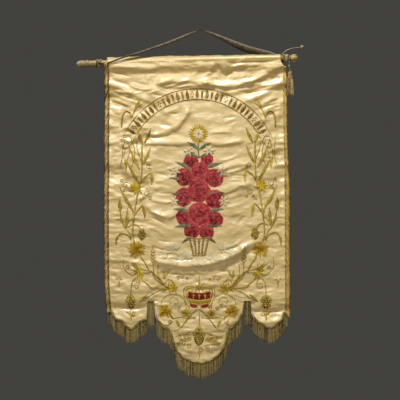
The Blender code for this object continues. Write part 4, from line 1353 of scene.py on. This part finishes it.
# Threads as (name, darkest and lightest colour, roughness, metallic, pitch in mm, relief, worn colour, wear)
THREADS = {
    "gold": ("gold_thread", (0.16, 0.085, 0.010), (0.66, 0.42, 0.10), 0.38, 0.2),
    "olive": ("olive_gold_thread", (0.27, 0.17, 0.010), (0.77, 0.56, 0.10), 0.38, 0.12),
    "lily": ("yellow_thread", (0.38, 0.24, 0.004), (0.84, 0.60, 0.03), 0.40, 0.12),
    "vine": ("amber_gold_thread", (0.34, 0.175, 0.003), (0.86, 0.57, 0.045), 0.42, 0.08),
    "grape": ("tarnished_thread", (0.19, 0.13, 0.015), (0.74, 0.54, 0.11), 0.36, 0.12),
    "knot": ("bright_thread", (0.45, 0.33, 0.10), (0.90, 0.76, 0.42), 0.3, 0.2),
    "outline_and_shadow": ("outline_and_shadow_thread", (0.13, 0.08, 0.008), (0.28, 0.18, 0.024), 0.5, 0.1),
    "edge": ("petal_edge_and_shade_silk", (0.055, 0.002, 0.003), (0.10, 0.006, 0.006), 0.6),
    "crimson": (
        "crimson_silk", (0.17, 0.003, 0.008), (0.80, 0.12, 0.12), 0.5, 0.0, 1.1, 0.4,
        (0.25, 0.01, 0.015), 0.15,
    ),
    "wine": ("wine_silk", (0.10, 0.004, 0.004), (0.46, 0.03, 0.02), 0.45),
    "green": ("grey_green_silk", (0.10, 0.11, 0.05), (0.38, 0.37, 0.22), 0.5),
    "pale": (
        "pale_silk", (0.68, 0.57, 0.32), (0.89, 0.77, 0.47), 0.55, 0.0, 1.0, 0.5,
        (0.6, 0.45, 0.25), 0.1,
    ),
    "grey": ("grey_silk", (0.36, 0.30, 0.14), (0.50, 0.42, 0.22), 0.55),
    "amber": ("orange_silk", (0.55, 0.20, 0.03), (0.80, 0.38, 0.08), 0.5),
    "braid": ("side_band_thread", (0.085, 0.053, 0.006), (0.70, 0.49, 0.14), 0.50, 0.1, 1.6, 0.6),
    "fringe": ("fringe_thread", (0.040, 0.027, 0.004), (0.39, 0.295, 0.105), 0.60, 0.05, 1.8, 0.5),
    "hem": ("hem_braid_thread", (0.16, 0.11, 0.02), (0.48, 0.36, 0.12), 0.55, 0.05),
    "cord": ("wound_cord", (0.022, 0.014, 0.004), (0.54, 0.42, 0.19), 0.65, 0.0, 1.4, 0.7),
    "loops": ("loose_cord", (0.16, 0.12, 0.05), (0.60, 0.50, 0.26), 0.6, 0.0, 1.4, 0.7),
    "tassel": ("tassel_thread", (0.12, 0.07, 0.02), (0.62, 0.47, 0.20), 0.5, 0.05, 1.4, 0.6),
    "tape": ("tape_weave", (0.042, 0.030, 0.013), (0.24, 0.21, 0.15), 0.9, 0.0, 1.2, 0.6, (0.06, 0.05, 0.03)),
}
PAINTS = {key: thread(*row) for key, row in THREADS.items()}
PAINTS["tape"].node_tree.nodes["Principled BSDF"].inputs["Specular IOR Level"].default_value = 0.08
PAINTS["satin"] = satin("cream_satin", (0.80, 0.635, 0.33), (0.67, 0.505, 0.215), 0.31)
PAINTS["lining"] = satin("plain_lining", (0.62, 0.50, 0.31), (0.52, 0.40, 0.23), 0.62)
PAINTS["rod"] = wood("pole_wood", (0.09, 0.055, 0.016), (0.33, 0.225, 0.08))
PAINTS["ball"] = wood("ball_wood", (0.15, 0.10, 0.028), (0.54, 0.40, 0.16))
PAINTS["ends"] = wood("turned_wood", (0.075, 0.052, 0.018), (0.25, 0.185, 0.08), (0.34, 0.28, 0.16))
PAINTS["gilt"] = worn_gilt()


# The cloth
def across():
    """Share of the width at each column, with column lines at the margins and beside each slit."""
    left = from_table(LEFT_EDGE, SLIT_TOP)
    right = from_table(RIGHT_EDGE, SLIT_TOP)
    stops = (left, left + MARGIN, *LEFT_SLIT, *RIGHT_SLIT, right - MARGIN, right)
    counts = (2, 22, 4, 54, 4, 22, 2)
    places = [left]
    for start, end, count in zip(stops, stops[1:], counts):
        places.extend(np.linspace(start, end, count + 1)[1:])
    ends = np.cumsum(counts)
    return (np.array(places) - left) / (right - left), ends


def main_rows(share):
    """Rows of the sheet from the seam behind, over the pole and down to the slits."""
    rows = []
    top_x = lerp(from_table(LEFT_EDGE, 0.0), from_table(RIGHT_EDGE, 0.0), share)
    for drop in np.linspace(SEAM_DROP, 3.0, 16):
        x = lerp(from_table(LEFT_EDGE, ROD_HEIGHT - drop), from_table(RIGHT_EDGE, ROD_HEIGHT - drop), share)
        z = rod_height(x) - drop
        seam = sheet_depth(x, rod_height(x) - SEAM_DROP) + CLOTH_THICKNESS + 0.4
        rows.append(places_of(x, lerp(LOOP_RADIUS, seam, ease(drop / SEAM_DROP)), z))
    waver = 0.7 * np.sin(top_x / 27.0) + 0.6 * np.sin(top_x / 11.0 + 1.0)
    for angle in np.linspace(0.0, math.pi, 26)[:-1]:
        dents = np.sin(top_x / 8.0 + 2.2 * angle) * np.sin(top_x / 21.0 - 1.4 * angle)
        rise = from_table(LOOP_TOP, top_x) + waver + 0.8 * dents * math.sin(angle)
        z = rod_height(top_x) + rise * math.sin(angle)
        rows.append(places_of(top_x, LOOP_RADIUS * math.cos(angle), z))
    for t in np.linspace(0.0, 1.0, 348):
        guess = rod_height(lerp(-412.0, 360.0, share))
        z = lerp(guess, SLIT_TOP, t)
        x = lerp(from_table(LEFT_EDGE, z), from_table(RIGHT_EDGE, z), share)
        rows.append(places_of(x, sheet_depth(x, z), z))
    return np.array(rows)


def lobe_rows(top, hem, count):
    """Rows from a top row of points down to a smooth hem."""
    line = smooth_line(hem, 3.0)
    along = lengths(line)
    even = np.linspace(0.0, 1.0, len(top))
    by_length = np.interp(even * along[-1], along, line[:, 0])
    by_width = lerp(line[0, 0], line[-1, 0], even)
    x_end = lerp(by_width, by_length, 0.35)
    z_end = np.interp(x_end, line[:, 0], line[:, 1])
    rows = [top]
    for t in np.linspace(0.0, 1.0, count + 1)[1:]:
        x = lerp(top[:, 0], x_end, t)
        z = lerp(top[:, 2], z_end, t)
        roll = 0.7 * ease((t - 0.93) / 0.04)
        rows.append(places_of(x, sheet_depth(x, z) - roll, z))
    return np.array(rows)


def make_cloth():
    """The sheet and its three lobes as one mesh, and the rows of points along the hems."""
    share, ends = across()
    main = main_rows(share)
    lobes = (
        (main[-1][: ends[1] + 1], LEFT_HEM, 34, 0),
        (main[-1][ends[2] : ends[3] + 1], CENTRE_HEM, 84, ends[2]),
        (main[-1][ends[4] :], RIGHT_HEM, 36, ends[4]),
    )
    points = [main.reshape(-1, 3)]
    total = main.shape[0] * main.shape[1]
    index = np.arange(total).reshape(main.shape[:2])
    faces = quads(index)
    hems = []
    for top, hem, count, start in lobes:
        rows = lobe_rows(top, hem, count)
        low = rows[1:]
        made = np.arange(low.shape[0] * low.shape[1]).reshape(low.shape[:2]) + total
        head = index[-1, start : start + len(top)]
        faces.extend(quads(np.vstack((head[None, :], made))))
        points.append(low.reshape(-1, 3))
        total += made.size
        hems.append(rows[-1])
    mesh = bpy.data.meshes.new("dressed_cloth")
    mesh.from_pydata((np.vstack(points) * MM).tolist(), [], faces)
    mesh.polygons.foreach_set("use_smooth", np.full(len(mesh.polygons), True))
    mesh.materials.append(PAINTS["satin"])
    mesh.materials.append(PAINTS["lining"])
    places = np.vstack(points)
    # Painted shade: the satin is browner and darker where it faces down
    down_facing_shade = sheet_value(FACING_DOWN, places[:, 0], places[:, 2])
    # Painted shade: the satin over the top of the pole is darker and greyer
    over_pole = ease((places[:, 2] - rod_height(places[:, 0]) - 2.0) / 10.0)
    painted_shade = mesh.attributes.new("painted_shade", "FLOAT", "POINT")
    painted_shade.data.foreach_set("value", np.maximum(down_facing_shade, 2.0 * over_pole).astype(np.float32))
    mesh.update()
    cloth = add_object("dressed_cloth", mesh)
    solid = cloth.modifiers.new("thickness", "SOLIDIFY")
    solid.thickness = CLOTH_THICKNESS * MM
    solid.offset = 0.0
    solid.material_offset = 1
    return put_on_frame(cloth, ("banner_cloth",)), hems


def narrowing(heights, outwards):
    """How far the right band has narrowed at these heights; the left one keeps its width."""
    return ease((heights + 700.0) / 200.0) if outwards > 0 else np.zeros(heights.size)


def make_trim(name, node_name, edge, outwards, top, bottom):
    """A band of hanging strands, each from the inner line and drifting outwards."""
    kit = Kit()
    dice = random.Random(name)
    z = top + 0.8 * TRIM_STRAND
    while z > bottom:
        z -= TRIM_PITCH * dice.uniform(0.8, 1.2)
        length = min(TRIM_STRAND * dice.uniform(0.85, 1.1), z - bottom + dice.uniform(4.0, 20.0))
        if z - top > 0.75 * length:
            continue
        t = np.linspace(max(0.0, (z - top) / length), 1.0, 8)
        heights = z - length * t
        narrow = narrowing(heights, outwards)
        overhang = lerp(TRIM_OVERHANG, TRIM_OVERHANG_TOP, narrow)
        width = lerp(TRIM_WIDTH, TRIM_NARROW, narrow)
        border = from_table(edge, heights)
        drift = t**0.85 * dice.uniform(0.84, 1.0)
        inner = border + outwards * (overhang - width)
        x = inner + outwards * (width - 1.2) * drift + 0.7 * np.sin(t * 9.0 + dice.uniform(0, 6))
        base = sheet_depth(border - outwards * MARGIN, heights) - HALF - 1.6
        y = base - 2.3 * np.sin(math.pi * np.clip(t * 0.9 + 0.05, 0, 1)) - dice.uniform(0.0, 0.9)
        bunch = 0.5 + 0.5 * math.sin(z / 3.4 + 2.0 * math.sin(z / 17.0))
        # Painted sheen: each strand is lighter along its middle than at its ends
        painted_sheen = 0.75 * np.sin(math.pi * np.clip(t * 1.1, 0, 1)) ** 1.5
        tone = 0.5 * bunch + 0.15 * outwards - 0.1 + dice.uniform(-0.15, 0.15) + painted_sheen
        size = dice.uniform(1.15, 1.5) * (1.0 - 0.35 * t**3)
        tube(kit, places_of(x, y, heights), size, size, 6, tone)
    heights = np.arange(top, bottom, -4.0)
    narrow = narrowing(heights, outwards)
    inset = lerp(TRIM_OVERHANG - TRIM_WIDTH, TRIM_OVERHANG_TOP - TRIM_NARROW, narrow)
    x = from_table(edge, heights) + outwards * inset
    for phase in (0.0, math.pi):
        turn = heights / 3.2 * 1.7 + phase
        y = sheet_depth(x, heights) - HALF - 1.5 + 0.8 * np.sin(turn)
        route = places_of(x + 0.9 * np.cos(turn), y, heights)
        tube(kit, route, 1.0, 1.0, 6, 0.55 + 0.2 * math.cos(phase))
    return kit.piece(name, "braid", "gold_braid", (node_name,))


CLUMP_PITCH = 4.9
CLUMP_TONES = (0.15, 0.5, 0.7, 0.85, 1.0)


def make_fringe(name, node_name, hem, start, end, length):
    """Hanging strands in two layers from a narrow heading behind the hem."""
    kit = Kit()
    dice = random.Random(name)
    count = round((end - start) / STRAND_PITCH)
    clumps = []
    for k in range(int((end - start) / CLUMP_PITCH) + 2):
        place = start + CLUMP_PITCH * k + dice.uniform(-1.6, 1.6)
        clumps.append((place, dice.choice(CLUMP_TONES), dice.uniform(-0.8, 0.8)))
    for layer in (0, 1):
        for k in range(count):
            x = start + (k + 0.5 + 0.5 * layer) * STRAND_PITCH * 0.985
            hem_z = float(np.interp(x, hem[:, 0], hem[:, 2]))
            hem_y = float(np.interp(x, hem[:, 0], hem[:, 1]))
            t = np.linspace(0.0, 1.0, 8)
            pull, clump_tone, forward = min(clumps, key=lambda clump: abs(clump[0] - x))
            reach = length * (1.0 + 0.03 * math.sin(x / 9.0) + dice.uniform(-0.05, 0.03))
            sway = 3.0 * math.sin(x / 23.0) + 1.2 * math.sin(x / 7.0)
            weight = dice.uniform(0.35, 0.85)
            line_x = x + (sway + (pull - x) * weight) * t**1.5 + 0.5 * np.sin(t * 7.0 + dice.uniform(0, 6))
            line_y = hem_y + HALF + 1.7 + 1.5 * layer + 1.3 * np.sin(x / 31.0) * t + forward * t
            line_z = hem_z + 5.0 - (reach + 5.0) * t
            size = dice.uniform(1.05, 1.35) * (1.0 - 0.3 * t**2)
            # Painted shade: the back layer of strands is at half tone
            tone = 0.3 * dice.random() + 0.9 * clump_tone * (0.5 if layer else 1.0) - 0.1 + 0.2 * t
            tube(kit, places_of(line_x, line_y, line_z), size, size * 0.85, 6, tone)
    x = np.linspace(start + 0.5, end - 0.5, max(8, int((end - start) / 5.0)))
    low_z = np.interp(x, hem[:, 0], hem[:, 2])
    low_y = np.interp(x, hem[:, 0], hem[:, 1])
    for rise in (1.5, 4.0, 6.5):
        y = low_y + HALF + 3.6 + 0.3 * np.sin(x * 1.9)
        tube(kit, places_of(x, y, low_z + rise), 0.9, 1.4, 6, 0.4)
    return kit.piece(name, "fringe", "fringe_thread", (node_name,))


def hem_braid(hem):
    """A narrow braid sewn along the front of a hem."""
    line = smooth_line(hem[:, (0, 2)], 3.0)
    run = unit(np.gradient(line, axis=0))
    up = np.stack((-run[:, 1], run[:, 0]), axis=1)
    t = np.arange(len(line))
    for inset, width, height in ((2.4, 2.5, 1.6), (6.2, 1.8, 1.1)):
        path = line + up * (inset + 0.25 * np.sin(t / 1.7))[:, None]
        tall = height + 0.25 * np.sin(t * 1.9)
        rib("hem_braid", path, width, tall, ROUND, 0.55 + 0.35 * np.sin(t / 2.3), 1.6)


def make_tape():
    """The flat tape over its nail, and its length in metres."""
    rows = smooth_line(TAPE, 9.0)
    route = rows[:, :3]
    run = unit(np.gradient(route, axis=0))
    side = unit(np.cross(run, (0.0, 1.0, 0.0)))
    face = unit(np.cross(side, run))
    turn = np.radians(rows[:, 4])[:, None]
    across_tape = side * np.cos(turn) + face * np.sin(turn)
    share = np.linspace(-0.5, 0.5, 7)
    off = rows[:, 3][:, None] * share[None, :]
    crown_of = TAPE_THICKNESS * 0.5 * (1.0 - (2 * np.abs(share)) ** 6)
    normal = unit(np.cross(across_tape, run))
    middle = route[:, None, :] + across_tape[:, None, :] * off[:, :, None]
    out = normal[:, None, :] * crown_of[None, :, None]
    ring = np.concatenate((middle + out, (middle - out)[:, -2:0:-1, :]), axis=1)
    along = lengths(route)
    over = np.concatenate((off, off[:, -2:0:-1]), axis=1)
    threads = np.stack(np.broadcast_arrays(over, along[:, None]), axis=-1)
    upper = np.concatenate((share, share[-2:0:-1]))
    kit = Kit()
    # Painted light and shade: the upper edge is lighter and the lower edge darker; the tape is also darker
    # towards its left end
    dark_end = 0.6 * ease((-route[:, :1] - 270.0) / 60.0)
    lit = 0.2 + 1.2 * upper + 3.0 * np.maximum(upper, 0.0) ** 2
    tones = lit[None, ::-1] * (1.0 - dark_end) - 0.3 * dark_end
    kit.grid(ring[:, ::-1, :], threads[:, ::-1, :], tones, closed=True)
    return kit.piece("flat_tape", "tape", "tape_web", ("hanging_tape",)), float(along[-1]) * MM


def rod_route(span, turns, radius, steps, start=0.0, wobble=0.0):
    """A helix round the pole."""
    t = np.linspace(0.0, 1.0, steps)
    angle = 2 * math.pi * turns * t + start
    along = lerp(span[0], span[1], t)
    radius = radius + wobble * np.sin(angle * 2.3)
    x = along - ROD_SLOPE * radius * np.cos(angle)
    return places_of(x, radius * np.sin(angle), rod_height(along) + radius * np.cos(angle))


# Loose turns over the right winding as (start, end, first angle)
LOOSE_LOOPS = (
    (359.0, 384.0, 2.2),
    (383.0, 361.0, 4.0),
    (364.0, 380.0, 5.4),
    (378.0, 359.0, 3.0),
    (370.0, 385.0, 3.4),
)
UPRIGHT = (0.0, 0.0, 1.0)


def make_windings():
    """Cord wound round the pole beside the cloth, with loose ends on the right one."""
    axis = (1.0, 0.0, ROD_SLOPE)
    for name, span, turns in (("left", LEFT_WINDING, 7.6), ("right", RIGHT_WINDING, 8.4)):
        kit = Kit()
        route = rod_route(span, turns, WINDING_RADIUS, 200)
        turned = 2 * math.pi * turns * np.arange(200) / 200
        tone = np.where(np.sin(0.42 * turned) > 0.3, -0.3, 0.85) + 0.1 * np.sin(2.3 * turned)
        tube(kit, route, WINDING_CORD, WINDING_CORD, 8, tone, axis)
        if name == "left":
            route = rod_route((-459.0, -437.0), 0.8, WINDING_RADIUS + 0.4, 40, 3.6)
            tube(kit, route, 1.4, 1.4, 8, -0.3, axis)
        if name == "right":
            loops = Kit()
            for k, (first, last, start) in enumerate(LOOSE_LOOPS):
                route = rod_route((first, last), 0.9, WINDING_RADIUS + 0.3, 40, start)
                tube(loops, route, 1.5, 1.5, 8, 0.35 + 0.15 * k, axis)
            loops.piece("loose_loops", "loops", "cord_thread")
        kit.piece(f"wound_cord_{name}", "cord", "cord_thread", (f"winding_{name}",))


# Outline of the tassel's head as (height, radius)
TASSEL_HEAD = (
    (0.0, 2.0),
    (-2.0, 7.0),
    (-5.0, 9.4),
    (-11.0, 10.8),
    (-16.0, 9.6),
    (-19.0, 8.6),
    (-24.0, 10.4),
    (-30.0, 12.6),
)


def make_tassel():
    """The tied head with its wound threads, and a skirt of strands."""
    kit = Kit()
    dice = random.Random(5)
    top = np.array(TASSEL_TOP)
    drops, radii = np.array(TASSEL_HEAD).T
    t = np.linspace(0.0, 1.0, 330)
    angle = 2 * math.pi * 17.0 * t
    fall = -30.0 * t
    radius = np.interp(-fall, -drops, radii) - 1.2
    tie = np.exp(-(((fall + 18.0) / 2.6) ** 2))
    route = top + places_of(radius * np.cos(angle), 0.9 * radius * np.sin(angle), fall - 0.6)
    size = 1.05 + 0.25 * tie
    tube(kit, route, size, size, 6, 0.5 + 0.25 * np.sin(angle * 0.37), UPRIGHT)
    core = radii[:, None] - 1.6
    around = 2 * math.pi * np.arange(20) / 20
    heights = top[2] - 0.8 + drops[:, None]
    body = places_of(top[0] + core * np.cos(around), top[1] + 0.9 * core * np.sin(around), heights)
    kit.grid(body[:, ::-1], np.zeros(body.shape[:2] + (2,)), 0.2, closed=True)
    for ring, count in ((1.0, 44), (0.72, 30), (0.4, 16)):
        for k in range(count):
            angle = 2 * math.pi * (k + dice.uniform(-0.3, 0.3)) / count
            t = np.linspace(0.0, 1.0, 9)
            flare = np.interp(t, (0.0, 0.12, 0.45, 1.0), (9.6, 11.8, 14.0, 14.8))
            out = ring * flare * (1.0 + dice.uniform(-0.03, 0.03))
            x = top[0] + out * math.cos(angle) + 1.4 * t + 0.8 * np.sin(t * 5 + dice.uniform(0, 6)) * t
            y = top[1] + 0.72 * out * math.sin(angle)
            z = top[2] - 22.0 - (88.5 - dice.uniform(0.0, 4.0)) * t
            # Painted light: the strands are lighter on the right side of the skirt
            tone = dice.uniform(0.0, 0.5) + 0.55 * float(ease(0.5 + 0.9 * math.cos(angle)))
            size = 1.05 - 0.25 * t
            tube(kit, places_of(x, y, z), size, size, 6, tone)
    return kit.piece("dressed_tassel", "tassel", "gold_braid", ("tassel",))


def make_tassel_cord():
    """Two threads twisted into a cord, with a knot half way."""
    line = smooth_line(TASSEL_CORD, 0.8)
    run = unit(np.gradient(line, axis=0))
    side = unit(np.cross(run, (1.0, 0.0, 0.0)))
    face = np.cross(side, run)
    kit = Kit()
    angles = 2 * math.pi * np.arange(14) / 14
    along = lengths(line)
    shape = 1.0 + 0.13 * np.cos(2 * (angles[None, :] - along[:, None] / 1.5))
    radius = TASSEL_CORD_RADIUS * 0.9 * shape
    ring = side[:, None, :] * (np.cos(angles)[None, :] * radius)[:, :, None]
    ring = ring + face[:, None, :] * (np.sin(angles)[None, :] * radius)[:, :, None]
    threads = np.stack(np.broadcast_arrays(angles[None, :] * 0.0, along[:, None]), axis=-1)
    kit.grid(line[:, None, :] + ring, threads, 0.55, closed=True)
    cord = kit.piece("tassel_hanger", "cord", "cord_thread", ("tassel_cord",))
    wrap = Kit()
    t = np.linspace(0.0, 1.0, 60)
    turn = 2 * math.pi * 3.2 * t
    height = -160.6 - 7.4 * t
    centre_x = np.interp(-height, -line[:, 2], line[:, 0])
    centre_y = np.interp(-height, -line[:, 2], line[:, 1])
    reach = 2.3 + 0.9 * np.sin(math.pi * t)
    route = places_of(centre_x + reach * np.cos(turn), centre_y + reach * np.sin(turn), height)
    tube(wrap, route, 1.35, 1.35, 8, 0.8, UPRIGHT)
    knot = wrap.piece("tassel_knot", "cord", "cord_thread")
    return cord


def make_embroidery():
    """All that is stitched on the sheet, one piece for each kit."""
    wreath()
    scroll()
    crown()
    spray()
    return [KITS[name].piece(f"stitched_{name}", paint, slot) for name, paint, slot in LOOKS]


def area_light(name, place, target, size, power, colour=(1.0, 1.0, 1.0)):
    data = bpy.data.lights.new(name, "AREA")
    data.shape = "RECTANGLE"
    data.size, data.size_y = size
    data.energy = power
    data.color = colour
    lamp = add_object(name, data)
    lamp.location = place
    direction = Vector(target) - lamp.location
    lamp.rotation_mode = "QUATERNION"
    lamp.rotation_quaternion = direction.to_track_quat("-Z", "Y")


FLOOR_REACH = 2.2

# Lamps as (name, place, what it is turned to, size, power and colour)
LAMPS = (
    ("key", (-0.5, -1.75, 2.85), (0.0, 0.0, -0.7), (0.8, 0.4), 185.0, (1.0, 0.98, 0.94)),
    ("gloss", (-0.6, -3.1, 0.7), (0.0, 0.0, -0.75), (0.7, 0.4), 23.0, (1.0, 0.96, 0.88)),
    ("fill", (0.4, -3.4, -1.5), (0.0, 0.0, -1.0), (2.4, 1.6), 10.0, (1.0, 0.80, 0.42)),
    ("back", (0.6, 2.6, 0.6), (0.0, 0.0, -0.7), (1.8, 1.2), 22.0),
)


def make_stage():
    """The camera in the photo's place, a pale floor, the lamps and a dim world."""
    scene = bpy.context.scene
    camera = bpy.data.cameras.new("photo_view")
    camera.lens = CAMERA_LENS
    camera.sensor_width = 36.0
    viewer = add_object("photo_view", camera)
    viewer.location = CAMERA_PLACE
    viewer.rotation_euler = (math.pi / 2, 0.0, 0.0)
    scene.camera = viewer
    mesh = bpy.data.meshes.new("floor")
    corners = [(x * FLOOR_REACH, y * FLOOR_REACH, 0) for x, y in ((-1, -1), (1, -1), (1, 1), (-1, 1))]
    mesh.from_pydata(corners, [], [(0, 1, 2, 3)])
    floor = add_object("floor", mesh)
    floor.location = (0.0, 0.0, FLOOR_HEIGHT)
    paint = Paint("pale_floor", 0.8)
    paint.colour(paint.mix(paint.noise(3.0), (0.60, 0.59, 0.57), (0.66, 0.65, 0.63)))
    mesh.materials.append(paint.material)
    world = bpy.data.worlds.new("studio")
    world.use_nodes = True
    background = world.node_tree.nodes["Background"].inputs
    background["Color"].default_value = (0.055, 0.054, 0.049, 1.0)
    background["Strength"].default_value = 1.0
    scene.world = world
    for lamp in LAMPS:
        area_light(*lamp)
    scene.view_settings.view_transform = "Standard"


# Nodes of the solids that are kept, and their paints
REPAINTED = (
    ("rod", "rod"),
    ("finial_left", "ends"),
    ("finial_right", "ball"),
    ("pin", "gilt"),
    ("pin_bead", "gilt"),
)

make_stage()
make_tassel()
make_tassel_cord()
cloth, hems = make_cloth()
trims = [
    make_trim("side_band_left", "side_trim_left", LEFT_EDGE, -1, -146.0, -1236.0),
    make_trim("side_band_right", "side_trim_right", RIGHT_EDGE, 1, -166.0, -1248.0),
]
slit_row = np.array([(x, sheet_depth(x, SLIT_TOP), SLIT_TOP) for x in np.arange(-260.0, 250.0, 4.0)])
fringes = [
    make_fringe("thread_fringe_left", "fringe_left", hems[0], -410.0, -239.5, STRAND_LENGTH),
    make_fringe("thread_fringe_centre", "fringe_centre", hems[1], -202.0, 183.0, STRAND_LENGTH),
    make_fringe("thread_fringe_right", "fringe_right", hems[2], 221.0, 388.0, STRAND_LENGTH),
    make_fringe("slit_strands_left", "fringe_slit_left", slit_row, *LEFT_SLIT, SLIT_STRAND_LENGTH),
    make_fringe("slit_strands_right", "fringe_slit_right", slit_row, *RIGHT_SLIT, SLIT_STRAND_LENGTH),
]
for hem in hems:
    hem_braid(hem)
stitching = make_embroidery()
tape, tape_length = make_tape()
make_windings()
for node_name, paint in REPAINTED:
    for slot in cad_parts[node_name].material_slots:
        slot.material = PAINTS[paint]
